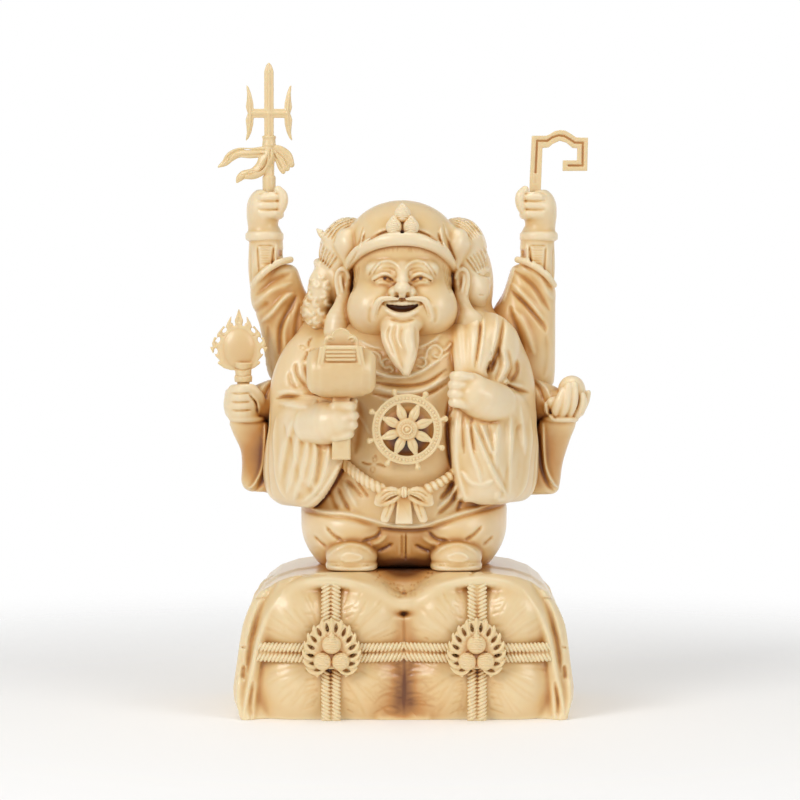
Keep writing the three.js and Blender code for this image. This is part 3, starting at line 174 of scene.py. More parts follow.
def roll(stations, flat=1.0, across=(0, 1, 0), spacing=1.5):
    """A roll through stations [x, y, z, radius]. With flat below 1 it is that much thinner along across."""
    line = through(stations, spacing).astype(np.float32)
    across = np.array(across, np.float32)
    across /= np.linalg.norm(across)
    radius = float(line[:, 3].max())
    low, high = line[:, :3].min(0) - radius, line[:, :3].max(0) + radius

    def distance(x, y, z):
        out = np.full(np.broadcast_shapes(x.shape, y.shape, z.shape), FAR, np.float32)
        for start, stop in zip(line[:-1], line[1:]):
            room = max(start[3], stop[3]) + 3
            window = []
            for k, values in enumerate((x, y, z)):
                values = values.ravel()
                first = np.searchsorted(values, min(start[k], stop[k]) - room)
                last = np.searchsorted(values, max(start[k], stop[k]) + room)
                window.append(slice(first, last))
            px, py, pz = x[window[0]], y[:, window[1]], z[:, :, window[2]]
            if 0 in (px.size, py.size, pz.size):
                continue
            run = stop[:3] - start[:3]
            length = max(float(run @ run), 1e-6)
            dx, dy, dz = px - start[0], py - start[1], pz - start[2]
            along = np.clip((dx * run[0] + dy * run[1] + dz * run[2]) / length, 0, 1)
            dx, dy, dz = dx - along * run[0], dy - along * run[1], dz - along * run[2]
            square = dx * dx + dy * dy + dz * dz
            if flat < 1:
                side = dx * across[0] + dy * across[1] + dz * across[2]
                stretched = square + side * side * (1 / flat ** 2 - 1)
                width = start[3] + along * (stop[3] - start[3])
                size = np.sqrt(stretched)
                steep = np.sqrt(square + side * side * (1 / flat ** 4 - 1)) / np.maximum(size, 1e-4)
                gap = (size - width) / np.maximum(steep, 1)
            else:
                gap = np.sqrt(square) - (start[3] + along * (stop[3] - start[3]))
            out[tuple(window)] = np.minimum(out[tuple(window)], gap)
        return out

    return low, high, distance


# %% Clay: slabs and drums
def edge_distance(outline, u, v):
    """Distance to a closed outline in a plane, below 0 inside it."""
    best = np.full(np.broadcast_shapes(u.shape, v.shape), 1e9, np.float32)
    inside = np.zeros(best.shape, bool)
    ends = np.roll(outline, -1, axis=0)
    for (au, av), (bu, bv) in zip(outline, ends):
        du, dv = bu - au, bv - av
        along = np.clip(((u - au) * du + (v - av) * dv) / max(du * du + dv * dv, 1e-9), 0, 1)
        best = np.minimum(best, (u - au - along * du) ** 2 + (v - av - along * dv) ** 2)
        if dv:
            crosses = ((av > v) != (bv > v)) & (u < du * (v - av) / dv + au)
            inside ^= crosses
    return np.where(inside, -np.sqrt(best), np.sqrt(best))


def rounded_edge(side, cap, rounding):
    """Joins the distances to a side and to a flat end, both moved in by the rounding."""
    corner = np.sqrt(np.maximum(side, 0) ** 2 + np.maximum(cap, 0) ** 2)
    return corner + np.minimum(np.maximum(side, cap), 0) - rounding


def slab(outline, thickness, middle=(0, 0, 0), rounding=0.3, holes=()):
    """An outline in x and z, cut from a sheet that faces the front, with rounded edges and holes."""
    outline = np.array(outline, float)
    middle = np.array(middle, float)
    low, high = middle.copy(), middle.copy()
    low[[0, 2]] += outline.min(0)
    high[[0, 2]] += outline.max(0)
    low[1] -= thickness / 2
    high[1] += thickness / 2

    def distance(x, y, z):
        u, v = x - middle[0], z - middle[2]
        edge = edge_distance(outline, u, v)
        for hole in holes:
            edge = np.maximum(edge, -edge_distance(np.array(hole, float), u, v))
        depth = np.abs(y - middle[1]) - thickness / 2
        return rounded_edge(edge + rounding, depth + rounding, rounding).astype(np.float32)

    return low, high, distance


def drum(levels, turn=0.0, power=2.2, rounding=2.0):
    """A stack of rounded ovals. A level is [z, middle x, middle y, half width, front depth, back depth]."""
    levels = through(levels, 2).astype(np.float32)
    levels = levels[np.argsort(levels[:, 0])]
    reach = levels[:, 3:].max(1)
    low = np.array([(levels[:, 1] - reach).min(), (levels[:, 2] - reach).min(), levels[0, 0]])
    high = np.array([(levels[:, 1] + reach).max(), (levels[:, 2] + reach).max(), levels[-1, 0]])
    cosine, sine = math.cos(math.radians(turn)), math.sin(math.radians(turn))

    def distance(x, y, z):
        at = [np.interp(z.ravel(), levels[:, 0], column).astype(np.float32)[None, None, :]
              for column in levels.T[1:]]
        dx, dy = x - at[0], y - at[1]
        aside = np.abs(cosine * dx + sine * dy)
        deep = cosine * dy - sine * dx
        depth = np.where(deep < 0, at[3], at[4])
        size = ((aside / at[2]) ** power + (np.abs(deep) / depth) ** power) ** (1 / power)
        away = np.sqrt(aside ** 2 + deep ** 2)
        side = away - away / np.maximum(size, 1e-3)
        side = np.where(size < 0.05, -np.minimum(at[2], depth), side) + rounding
        cap = np.maximum(z - levels[-1, 0], levels[0, 0] - z) + rounding + np.zeros_like(side)
        return rounded_edge(side, cap, rounding)

    return low, high, distance


# %% [markdown]
# ## Lines drawn on the clay
# Folds, creases, strands of hair and the stems of an ornament are lines pressed into the clay or laid on it.
# Each stroke is a curve on paper, with a width and a rise (below 0 for a groove). It is drawn as seen from
# one side and pressed into the first surface that is met from there, like a drawing carved in relief.

# %% Clay: strokes
def relief_map(u, v, strokes):
    """The height in mm of the drawn strokes over a plane. A stroke is (points, width, rise)."""
    ridges = np.zeros((len(u), len(v)), np.float32)
    grooves = np.zeros_like(ridges)
    for points, width, rise in strokes:
        line = through(points, max(0.8, width * 0.5))
        count = len(line) - 1
        reach = 2.2 * width
        target = ridges if rise > 0 else grooves
        choose = np.maximum if rise > 0 else np.minimum
        for k in range(count):
            (au, av), (bu, bv) = line[k][:2], line[k + 1][:2]
            first_u, last_u = np.searchsorted(u, [min(au, bu) - reach, max(au, bu) + reach])
            first_v, last_v = np.searchsorted(v, [min(av, bv) - reach, max(av, bv) + reach])
            pu, pv = u[first_u:last_u, None], v[None, first_v:last_v]
            if pu.size == 0 or pv.size == 0:
                continue
            du, dv = bu - au, bv - av
            along = np.clip(((pu - au) * du + (pv - av) * dv) / max(du * du + dv * dv, 1e-9), 0, 1)
            square = (pu - au - along * du) ** 2 + (pv - av - along * dv) ** 2
            share = (k + along) / count
            # Both ends taper over about a fifth of the stroke
            taper = np.sqrt(np.clip(4.5 * np.minimum(share, 1 - share) + 0.12, 0, 1))
            height = rise * taper * np.exp(-square / (width * taper) ** 2)
            area = (slice(first_u, last_u), slice(first_v, last_v))
            target[area] = choose(target[area], height)
    return ridges + grooves


def mirrored(strokes, about):
    """The strokes and their mirror images about an upright line."""
    return strokes + [([(2 * about - u, v) for u, v in points], width, rise) for points, width,
                      rise in strokes]


FAINT = 0.01  # mm, a relief too low to draw
FADE = 1.5  # mm over which a stroke dies away below its depth
IN_FRONT = 6  # mm of space before the surface that a stroke may fill


def draw(clay, strokes, side="front", depth=3.0, limits=None):
    """Presses strokes into the first surface met from a side. Limits keep it to a span of depth, in mm."""
    across = 0 if side in ("front", "back") else 1
    field = clay.field.transpose(across, 1 - across, 2)
    place = clay.low[1 - across] + clay.grain * np.arange(field.shape[1])
    if side in ("back", "right"):
        field, place = field[:, ::-1], place[::-1]
    u = clay.low[across] + clay.grain * np.arange(field.shape[0])
    v = clay.low[2] + clay.grain * np.arange(field.shape[2])
    height = relief_map(u, v, strokes)
    rows, columns = np.nonzero(np.abs(height) > FAINT)
    if len(rows) == 0:
        return
    area = field[rows, :, columns]
    inside = area < 0
    if limits is not None:
        inside &= (place >= limits[0]) & (place <= limits[1])
    hit = inside.any(axis=1)
    layer = (np.arange(field.shape[1])[None, :] - inside.argmax(axis=1)[:, None]) * clay.grain
    weight = np.clip((depth + 1 - layer) / FADE, 0, 1) * hit[:, None]
    if limits is not None:
        weight = weight * (layer > -IN_FRONT)
    field[rows, :, columns] = area - height[rows, columns][:, None] * weight


# %% [markdown]
# ## Head
# The face is what a visitor looks at first: round, puffed cheeks that push the eyes into two narrow smiles, a
# broad short nose, an open laughing mouth with small upper teeth, a drooping moustache and a beard of wavy
# locks. Long ear lobes hang to the shoulders. The soft cap has a rolled brim and a puffed lobe over each ear,
# and a smaller face looks out to each side: a fierce one to the left, a gentle one to the right. All heights
# here are in mm above the soles, as a carver would mark them on the block.

# %% Clay: face
MIDDLE = -0.7  # mm, where the middle of the face lies


def on_side(side, points, middle=0.0):
    """Points given for the right side, as they are (side 1) or mirrored to the left (side -1)."""
    return [(middle + side * first, *others) for first, *others in points]


def both_sides(clay, forms, blend, cut=False):
    """Adds or cuts eggs and rolls to the right of the face's middle, and their mirror images."""
    for side in (-1, 1):
        for make, places, *others in forms:
            places = on_side(side, places, MIDDLE)
            form = make(places[0] if make is egg else places, *others)
            (clay.cut if cut else clay.add)(form, blend)


def combed(first, last, count, width, rise):
    """Strokes spread evenly between two guiding curves, like the teeth marks of a comb."""
    first, last = np.array(first, float), np.array(last, float)
    return [((first + (last - first) * k / (count - 1)).tolist(), width, rise) for k in range(count)]


def face(clay):
    clay.add(egg((MIDDLE, -8, 112), (19.6, 19.5, 22)))
    clay.add(egg((MIDDLE, -12.5, 101), (20.6, 15.5, 14.6)), 3)
    both_sides(clay, [(egg, [(11.6, -17.6, 102.6)], (9.8, 11.4, 10.6)),
                      (egg, [(8.2, -22.6, 118.2)], (5.4, 3.2, 2.6))], 4)
    # Hollows of the eyes, then the lids over them
    both_sides(clay, [(egg, [(7.2, -29.6, 114.4)], (4.6, 3, 2.4))], 2.4, cut=True)
    both_sides(clay, [(egg, [(7.3, -24.6, 114)], (4.2, 2.5, 2.2)),
                      (roll, [(3.2, -26, 114, 0.5), (5.6, -27.2, 115.7, 0.6), (8, -26.9, 115.8, 0.6),
                              (11.4, -24.4, 113.8, 0.45)])], 0.9)
    # Nose: bridge, tip and wings
    clay.add(roll([(MIDDLE, -25.5, 118.5, 2.2), (MIDDLE, -28.4, 114, 2.3), (MIDDLE, -29.8, 111.6, 2.6)]), 3)
    clay.add(egg((MIDDLE, -30.6, 110.1), (3.1, 3.4, 2.5)), 1.4)
    clay.add(egg((MIDDLE, -29.8, 107.6), (1.3, 2.4, 1.5)), 1)
    both_sides(clay, [(egg, [(3.5, -28, 108.9)], (2, 2.9, 2.1))], 1)
    both_sides(clay, [(egg, [(2.3, -31.8, 107.9)], (0.95, 1.9, 0.85))], 0.5, cut=True)
    # Muzzle
    clay.add(egg((MIDDLE, -23.4, 101), (10, 6.4, 5)), 2.4)
    both_sides(clay, [(egg, [(7.4, -24.6, 106.6)], (4.6, 3.4, 3.4))], 3)
    # Moustache: a flat ribbon of hair from the nose down past the corners of the mouth
    both_sides(clay, [(roll, [(1.8, -30, 106, 0.6), (5.1, -30.2, 106.2, 1), (8.6, -29.6, 105.6, 1.25),
                              (10.5, -28.6, 102.2, 1.25), (11.3, -27.4, 98.4, 0.9)], 0.8, (0, 1, 0.2))], 0.9)


def beard(clay):
    """One broad soft lock from the lower lip, with wavy strands that end in a single point."""
    clay.add(roll([(-0.7, -27, 94.8, 5.6), (-0.8, -28.4, 91.6, 6.8), (-0.4, -30.4, 87.4, 6),
                   (0, -32.4, 82.4, 4),
                   (0.8, -34, 77.6, 1.5)], 0.6, (0, 1, 0)), 1.8)
    for lock in ([(-6, -26.4, 95.6, 1.8), (-7, -28, 92, 2), (-4.6, -31, 86, 2), (-2.2, -33, 81.6, 1.2)],
                 [(2, -29.6, 95.6, 1.6), (1.6, -33, 90, 2.4), (2.6, -34.2, 84.6, 2.2), (1, -35, 77.8, 0.9)]):
        clay.add(roll(lock), 2.6)
    clay.add(egg((-0.7, -27.2, 96.2), (7.6, 4, 3.7)), 2)
    strands = [([(-3, 96.4), (-4.2, 92), (-3, 87.4), (-1.8, 82.6), (-0.4, 79)], 0.8, -0.55),
               ([(-5.6, 95.4), (-6.6, 91.4), (-5, 86.6), (-3.4, 83)], 0.5, -0.4),
               ([(-0.6, 95.4), (-1.6, 91), (-0.6, 87)], 0.5, -0.35),
               ([(4.2, 95), (4.6, 91), (4.4, 86.4), (2.8, 81.6)], 0.7, -0.35),
               ([(0.8, 94), (0.6, 89.6), (1.6, 85)], 0.6, 0.35)]
    draw(clay, strands, limits=(-40, -22))


def mouth(clay):
    """The laughing mouth, with the upper teeth and the lower lip."""
    for depth in (-31.6, -29.4, -27.2, -25.6):
        clay.cut(roll([(MIDDLE - 7, depth + 1, 104.2, 0.7), (MIDDLE - 3.8, depth, 103, 1.5),
                       (MIDDLE, depth, 102.5, 1.8), (MIDDLE + 3.8, depth, 103, 1.5),
                       (MIDDLE + 7, depth + 1, 104.2, 0.7)]), 0.4)
    clay.add(roll([(MIDDLE - 5, -27.6, 104.6, 0.8), (MIDDLE, -28.6, 104.3, 0.95),
                   (MIDDLE + 5, -27.6, 104.6, 0.8)],
                  0.8, (0, 1, 0)), 0.4)
    clay.add(roll([(MIDDLE - 5.6, -28.6, 101.2, 0.7), (MIDDLE - 3, -30, 100, 0.95),
                   (MIDDLE, -30.4, 99.6, 1.05),
                   (MIDDLE + 3, -30, 100, 0.95), (MIDDLE + 5.6, -28.6, 101.2, 0.7)]), 0.8)


def ears(clay):
    both_sides(clay, [(egg, [(23.6, -8, 112.8)], (2.8, 2.6, 5.8)),
                      (roll, [(23.4, -8.6, 107.4, 2.4), (24.4, -10, 102.6, 3.2), (25.4, -11.6, 97.6, 4.9),
                              (25.8, -12, 93.4, 5.4)])], 2)
    clay.add(egg((26, -13.4, 95.4), (6.2, 5, 6)), 2)
    both_sides(clay, [(egg, [(23.2, -12, 113)], (1.8, 2.6, 4))], 0.8, cut=True)
    both_sides(clay, [(roll, [(21.2, -9.4, 114.5, 0.7), (22, -10.2, 117, 0.85), (24, -10.4, 118, 0.9),
                              (25.8, -9.8, 116.2, 0.9), (26.1, -9.6, 112.4, 0.9), (25.2, -10, 108, 0.9)]),
                      (roll, [(24.4, -9.8, 115.4, 0.5), (24.3, -10.2, 112.6, 0.6), (23.6, -10.6, 109, 0.6)])],
               0.5)


def cap(clay):
    clay.add(egg((MIDDLE, -5.5, 123.2), (20.8, 21, 21)), 0.8)
    clay.add(egg((MIDDLE, -5, 129.6), (21.2, 20.6, 15.5)), 2)
    for s in (-1, 1):
        puff = on_side(s, [(15.6, 137), (20, 135.4), (27, 127.6), (22, 117.4), (17.4, 122)])
        clay.add(slab(puff, 12, (MIDDLE, -7.4, 0), 2.6), 1.6)
        clay.add(egg((MIDDLE + s * 21.4, -9.4, 127.6), (4.8, 6.4, 6.6), (0, s * 20, 0)), 1.6)
    # The rolled brim, thick over the brow
    clay.add(roll([
        (MIDDLE - 23.4, 1, 116, 1.6), (MIDDLE - 22.2, -8, 118.4, 1.9), (MIDDLE - 18.4, -17.4, 123.4, 2.3),
        (MIDDLE - 13.4, -23, 126.9, 2.6), (MIDDLE - 7, -26.4, 128.9, 2.7), (MIDDLE, -27.6, 129.5, 2.7),
        (MIDDLE + 7, -26.4, 128.9, 2.7), (MIDDLE + 13.4, -23, 126.6, 2.6), (MIDDLE + 17.8, -17.4, 122.8, 2.3),
        (MIDDLE + 20.6, -8, 118, 1.9), (MIDDLE + 22, 1, 115.6, 1.6)], 0.72, (0, 1, 0)), 0.3)
    creases = [
        ([(-16, 134.6), (-16.9, 130.6), (-18.6, 124.4), (-21.4, 119.6)], 0.55, -0.6),
        ([(-15.4, 132), (-16.2, 129), (-17.4, 126)], 0.45, -0.7),
        ([(-15.9, 133.5), (-16.9, 128), (-18.6, 124.6)], 0.5, 0.7),
        ([(15.4, 135.6), (16.4, 131), (18.4, 125.6), (20.4, 120.6)], 0.55, -0.6),
        ([(13.4, 132), (14.2, 129), (15.4, 126.4)], 0.45, -0.7),
        ([(14.6, 134), (15, 130), (16.4, 126)], 0.5, 0.7),
        ([(-15, 128.2), (-9, 131.6), (-4, 133.2)], 0.4, -1.1),
        ([(2.6, 133.2), (8, 131.6), (13.8, 128.2)], 0.4, -1.1),
    ]
    draw(clay, creases, limits=(-40, 0))
    folds = [([(MIDDLE + x, 144 - abs(x) * 0.25), (MIDDLE + 1.05 * x, 132), (MIDDLE + 0.9 * x, 118)], 1.6,
              rise)
             for x, rise in ((-15, -0.8), (-10, 0.5), (-5, -0.8), (0, 0.5), (5, -0.8), (10, 0.5), (15, -0.8))]
    draw(clay, folds, side="back", limits=(0, 40))


def curls(across, heights, size):
    """Small hooked strokes, set in uneven rows, that read as thick curls."""
    chance = np.random.default_rng(11)
    strokes = []
    for row, height in enumerate(np.arange(heights[0], heights[1], size * 0.82)):
        for x in np.arange(across[0] + size * 0.5 * (row % 2), across[1], size):
            x, z, turn = x + chance.uniform(-0.6, 0.6), height + chance.uniform(-0.6,
                                                                                0.6), chance.uniform(1.6, 4.4)
            hook = [(x + size * 0.46 * (1 - 0.14 * k) * math.cos(turn + 0.8 * k),
                     z + size * 0.46 * (1 - 0.14 * k) * math.sin(turn + 0.8 * k)) for k in range(5)]
            strokes.append((hook, 0.2 * size, 0.24 * size))
    return strokes


def side_faces(clay):
    """The two smaller heads, a fierce one to the left and a gentle one to the right."""
    # Skulls with the hair drawn up and back
    clay.add(egg((-22.6, 4, 124), (11.6, 14.6, 15)), 2)
    clay.add(egg((22, 4, 123.6), (11.6, 14.6, 15.4)), 2)
    clay.add(roll([(-25.5, -1.6, 130.4, 2.8), (-30, -1.6, 131, 2.6), (-33, -1.6, 132.2, 1.5),
                   (-34.6, -1.6, 133.8, 0.5)]), 0.8)
    clay.add(egg((28.4, -2, 130.8), (3, 3.6, 2.2), (0, 20, 0)), 1)
    # Fierce profile: knitted brow, hooked nose, lips
    clay.add(egg((-25.4, 4, 113), (10.4, 12, 12)), 2)
    clay.add(roll([(-33.2, -3, 119.8, 1.5), (-34.6, 3.5, 120.6, 1.7), (-33.2, 10, 119.8, 1.5)]), 1.2)
    clay.add(roll([(-34.6, 3.5, 118.6, 1.2), (-35.6, 3.5, 112.8, 1.8)]), 1)
    clay.add(egg((-34.8, 3.5, 108.6), (2, 3.4, 1)), 0.7)
    # Gentle profile: one smooth oval down to the chin
    clay.add(egg((24, 4, 112.8), (10.9, 12.2, 13)), 2)
    clay.add(roll([(33.4, 3.5, 118.6, 1), (34, 3.5, 112.6, 1.3)]), 1)
    clay.add(egg((32.6, 3.5, 108.2), (1.9, 3.2, 0.9)), 0.8)
    clay.add(egg((28.2, 3.5, 102.8), (5, 7, 3.8)), 2.4)
    for near in (-1, 1):
        clay.add(egg((-29.8, 3.5 + near * 6.6, 113.4), (4.4, 4.2, 4.4)), 2.4)
        clay.add(egg((28.6, 3.5 + near * 5.8, 109.4), (4.6, 4.6, 5)), 3.4)
        clay.cut(egg((-35, 3.5 + near * 4.4, 116.6), (2.2, 2.4, 1.3)), 1)
        clay.cut(egg((34.4, 3.5 + near * 4.6, 115.6), (2, 2.8, 0.8)), 1.2)
        clay.add(egg((-32.6, 3.5 + near * 4.3, 116.4), (1.5, 2, 1)), 0.5)
    hair = (combed([(-33, 131.6), (-28, 137.2), (-20, 140)], [(-26.4, 128), (-24, 132), (-19.8, 135)], 6,
                   0.55, -1.2)
            + combed([(-34.2, 129.4), (-34.8, 126), (-35, 122.4)], [(-26.4, 123), (-28, 120.6), (-30, 118)],
                     7, 0.55, -1.1)
            + combed([(18.6, 139.8), (25, 137.8), (31, 131.6)], [(20.6, 134.6), (23.4, 132.6), (26, 129)], 6,
                     0.55, -1.2)
            + combed([(32.8, 127.4), (34.4, 123.4), (34.8, 119.4)], [(24.6, 122), (26.6, 119.4), (29, 116.4)],
                     7, 0.55, -1.1)
            + [([(29, 116.4), (31.6, 115.2), (33.8, 115.6)], 0.35, -0.7),
               ([(29.6, 107.6), (32, 107.4)], 0.35, -0.6)])
    draw(clay, hair, limits=(-30, 12))
    # Thick curls of the fierce face, from its cheek down to its beard
    clay.add(egg((-33.4, -1, 109), (5, 9, 10)), 2)
    clay.add(egg((-35, 1, 101.4), (6, 10.6, 6.6)), 2)
    clay.add(egg((-33.6, -4.6, 97.8), (5, 6, 4)), 1.6)
    draw(clay, curls((-40.5, -28.6), (94, 118), 4.3), limits=(-20, 2))
    draw(clay, curls((3, 14), (95, 110), 4.3), side="left", limits=(-45, -24))


def head_lines(clay):
    """Brows, lids, creases and hair, drawn on the finished forms."""
    wrinkles = [
        # Brow: two arcs, with fine hairs at the outer end
        ([(-1.6, 117.8), (-3.6, 120), (-6.8, 121), (-9.8, 119.8), (-12, 117)], 0.6, 0.6),
        ([(-2.8, 116.6), (-4.6, 117.8), (-6.8, 118.2), (-9, 117.8)], 0.4, -0.35),
        ([(-10.6, 120), (-12.2, 118), (-13.8, 115)], 0.35, -0.45),
        ([(-9.4, 119.2), (-11, 117.4), (-12.2, 115.4)], 0.3, -0.4),
        ([(-8.2, 120.4), (-9.6, 119.4)], 0.3, -0.4),
        # Slit between the lids, with the eye's dark middle
        ([(-12, 113), (-10, 114), (-7.9, 114.5), (-5.8, 114.1), (-4, 112.9)], 0.45, -1),
        ([(-10.4, 112.9), (-7.8, 113.4), (-5.2, 112.8)], 0.35, -0.5),
        ([(-10.2, 113.6), (-7.6, 114), (-5.2, 113.5)], 0.75, -0.5),
        ([(-7.9, 113.9), (-7.1, 113.9)], 0.6, -0.9),
        ([(-11.4, 112), (-8, 112.3), (-4.6, 111.6)], 0.5, 0.3),
        ([(-3.4, 114), (-2.9, 115.6), (-3.4, 117)], 0.5, -0.3),
        # Fold from the nose round the cheek
        ([(-5, 110.8), (-6.8, 108.6), (-8.8, 107.4)], 0.8, -0.2),
        ([(-13.2, 103), (-13.8, 99.6), (-13.2, 96.6)], 0.8, -0.4),
        # Moustache strands
        ([(-3, 105.9), (-7, 105.9), (-9.8, 104.2), (-11, 100.6), (-11.6, 97.8)], 0.28, -0.35),
        ([(-3, 105), (-7, 104.9), (-9, 103.4), (-10.2, 100.2), (-11, 98)], 0.28, -0.3),
    ]
    draw(clay, mirrored(wrinkles, MIDDLE + 0.1), limits=(-40, -16))
    small = [
        ([(MIDDLE, 107), (MIDDLE, 104.6)], 0.5, -0.5),
        ([(MIDDLE - 3.6, 111.6), (MIDDLE - 1.6, 112.6), (MIDDLE + 1.6, 112.6), (MIDDLE + 3.6, 111.6)], 0.5,
         -0.35),
        ([(MIDDLE - 4.8, 98), (MIDDLE, 97.2), (MIDDLE + 4.8, 98)], 0.7, -0.8),
    ]
    draw(clay, small, limits=(-40, -20))
    temple = combed([(-17.6, 119.4), (-18.4, 114), (-20.2, 108)], [(-20, 117.4), (-20.4, 113), (-21, 109)], 4,
                    0.3, -0.4)
    draw(clay, mirrored(temple, MIDDLE - 0.4), limits=(-24, -4))
    teeth = [([(MIDDLE + x, 105.4), (MIDDLE + x, 103.4)], 0.2, -0.16)
             for x in (-3.9, -2.3, -0.7, 0.9, 2.5, 4.1)]
    draw(clay, teeth, limits=(-32, -20))
    clay.cut(egg((MIDDLE, -26.6, 131.6), (1, 2, 0.9)), 0.3)


def make_head():
    clay = Clay((-43.4, -38, 74), (37.5, 26, 147), 0.4)
    side_faces(clay)
    face(clay)
    cap(clay)
    ears(clay)
    beard(clay)
    mouth(clay)
    head_lines(clay)
    return clay

# %% [markdown]
# ## Body
# He stands with his feet apart, in trousers tucked into shoes, a coat with a bow at the waist and wide
# sleeves. The belly swells out over the belt. The front arms are bent: one fist holds the mallet, the other
# the neck of the sack, which hangs over the shoulder and down the back.

# %% Clay: trunk and legs
def trunk_and_legs(clay):
    clay.add(drum([(0, 0, 1, 34, 22, 25), (7, 0, 1, 37.8, 25, 27), (15, 0, 1, 40.4, 28, 29),
                   (24, 0, 1, 41, 29.5, 30)]))
    both_legs = ((-20.6, -30.8, -10.2), (20.5, 10.8, 30.4))
    for middle, _, _ in both_legs:
        clay.add(egg((middle, -8, 15), (19.5, 22.5, 17)), 4)
    clay.add(drum([(16, 0, 0, 40, 30.5, 30), (23, 0, 0, 41, 31.4, 31), (29, 0, 0, 39.6, 32.4, 31),
                   (35, 0, 0, 38, 33, 31), (42, 0, 0, 36, 33, 30)]), 1)
    clay.add(drum([(31, 0, 0, 34, 31, 29), (38, 0, 0, 36, 35, 31), (47, 0, 0, 37, 36, 31.5),
                   (56, 0, 0, 37, 35, 31.5),
                   (65, 0, 0, 37, 33.4, 31), (74, 0, 0, 38, 31, 30), (82, 0, 0, 39, 29, 28),
                   (90, 0, 0, 36.5, 25, 25),
                   (98, 0, 0, 27, 19, 20)]), 2)
    clay.add(egg((0, -14.5, 55.5), (25.5, 24.6, 22)), 2)
    for s in (-1, 1):
        clay.add(egg((s * 25, 9, 112), (11, 14, 20)), 3)
        clay.add(egg((s * 30, 8, 92), (12, 14, 10)), 5)
    # The hem of the trousers stands just clear of the cloth between the shoes
    clay.cut(slab([(-11.4, -3), (11.2, -3), (10, 0.2), (-10.2, 0.2)], 34, (0, -19, 0), 0.6), 0.8)
    # Shoes: a puffed toe with a panel, on a thin sole
    for middle, low, high in both_legs:
        clay.add(egg((middle, -22, 5.6), (10, 13.4, 7.3)), 0.8)
        clay.add(egg((middle, -26.6, 4.6), (9.8, 9, 6)), 1.4)
        clay.add(drum([(0.1, middle, -24, 10, 11.6, 12), (2, middle, -24, 10.2, 12, 12),
                       (3.2, middle, -24, 9.8, 11.4, 12)],
                      power=2.8, rounding=0.8), 0.4)


# %% Clay: sack
def sack(clay):
    clay.add(egg((12, 25, 70), (34, 21.5, 32)), 4)
    clay.add(roll([(18, 26, 96, 14), (26, 10, 98, 9), (28, -4, 96, 6.6), (28, -14, 94, 5)]), 2.5)
    # Its neck is broad over the shoulder and gathered to the fist
    clay.add(roll([(22.8, -12, 96, 3.4), (22.6, -21.6, 88.8, 3.6), (23, -28.8, 81.6, 3.6),
                   (23.4, -32.8, 75, 3.5)]), 2)
    clay.add(roll([(28, -9, 97, 4.2), (27.2, -21, 89.4, 4.4), (26.4, -28.6, 81.6, 4), (26, -32.2, 75, 3.6)]),
             1.4)
    clay.add(roll([(33.8, -6, 96, 4.4), (32.4, -19.6, 88.8, 4.6), (30.2, -27.2, 82, 4.1),
                   (28.4, -31, 75, 3.6)]), 1.4)
    clay.add(roll([(36, -5, 93, 4.8), (37.6, -15, 85, 5), (36.4, -21, 77, 4.8), (33.6, -26.4, 71.6, 3.8)]), 3)
    clay.add(egg((35.6, -7.6, 86), (11, 15, 12.6)), 4)
    clay.add(roll([(22.4, -33, 64, 3.4), (21.8, -34, 54, 4), (21.8, -33.4, 44, 3.8), (23, -31.6, 34, 3)]), 2)
    clay.add(roll([(27, -32, 63, 4), (27.6, -33, 52, 5), (27, -30, 40, 3)]), 2)


# %% Clay: front sleeves
def front_arms(clay):
    # Shoulders and upper arms
    clay.add(roll([(-30, 2, 88, 11), (-37, 0, 80, 12.6), (-41, -3, 70, 12.4), (-41.5, -6, 60, 11.6)]), 4)
    clay.add(roll([(31, 2, 88, 10.6), (37, 0, 80, 12.4), (40, -3, 70, 12.4), (40.4, -6, 60, 11.6)]), 4)
    # Forearms
    clay.add(roll([(-42, -8, 58, 11), (-37, -22, 57.6, 10.6), (-32, -33, 58.4, 8.6)]), 3)
    clay.add(roll([(41, -8, 59, 11), (38, -20, 62, 10), (33.6, -29, 66, 8)]), 3)
    # Hanging parts: wide, flat, open towards the front
    clay.add(drum([(24.4, -42, -17, 12, 5.4, 5), (29, -42.4, -18, 18, 7.6, 7), (36, -41, -19, 21.6, 9.4, 9),
                   (44, -39.6, -19.5, 23, 10.4, 10), (53, -38.8, -19, 21.6, 10.6, 10),
                   (62, -38, -17, 16, 9, 9)],
                  turn=-56, power=2.1, rounding=3), 3)
    clay.add(drum([(26, 38, -19, 17, 7.2, 6), (32, 38, -20, 21.6, 9.6, 8), (42, 37.6, -19.6, 23, 10.8, 10),
                   (52, 38, -19, 21.6, 10.8, 10), (63, 38, -17, 15.6, 9, 9)], turn=57, power=2.1, rounding=3),
             3)
    clay.add(drum([(27, 31, -28, 11.4, 7.4, 10), (36, 30, -29.6, 11, 7.2, 10), (48, 29, -30.6, 10, 6.4, 10),
                   (58, 28.6, -31, 9, 5.6, 10)], turn=16, power=2.4, rounding=2.4), 2.4)


def left_hand(clay):
    """The fist round the mallet's handle, seen from the back of the hand."""
    clay.add(roll([(-35, -33, 57, 8), (-30, -39.6, 58, 8.2), (-26, -42, 58.8, 7)]), 0.5)
    for finger, height in enumerate((64.6, 61, 57.4, 54)):
        reach = (-19.6, -18.8, -19.2, -20.6)[finger]
        clay.add(roll([(-26.4, -44.4, height - 0.4, 2.5), (reach - 1.4, -44.8, height, 2.1),
                       (reach - 0.4, -41, height, 1.9)]), 1)
    clay.add(roll([(-27, -37.4, 63.4, 2.6), (-21.6, -37, 66.4, 2.2), (-19.6, -40, 66.4, 1.7)]), 0.8)


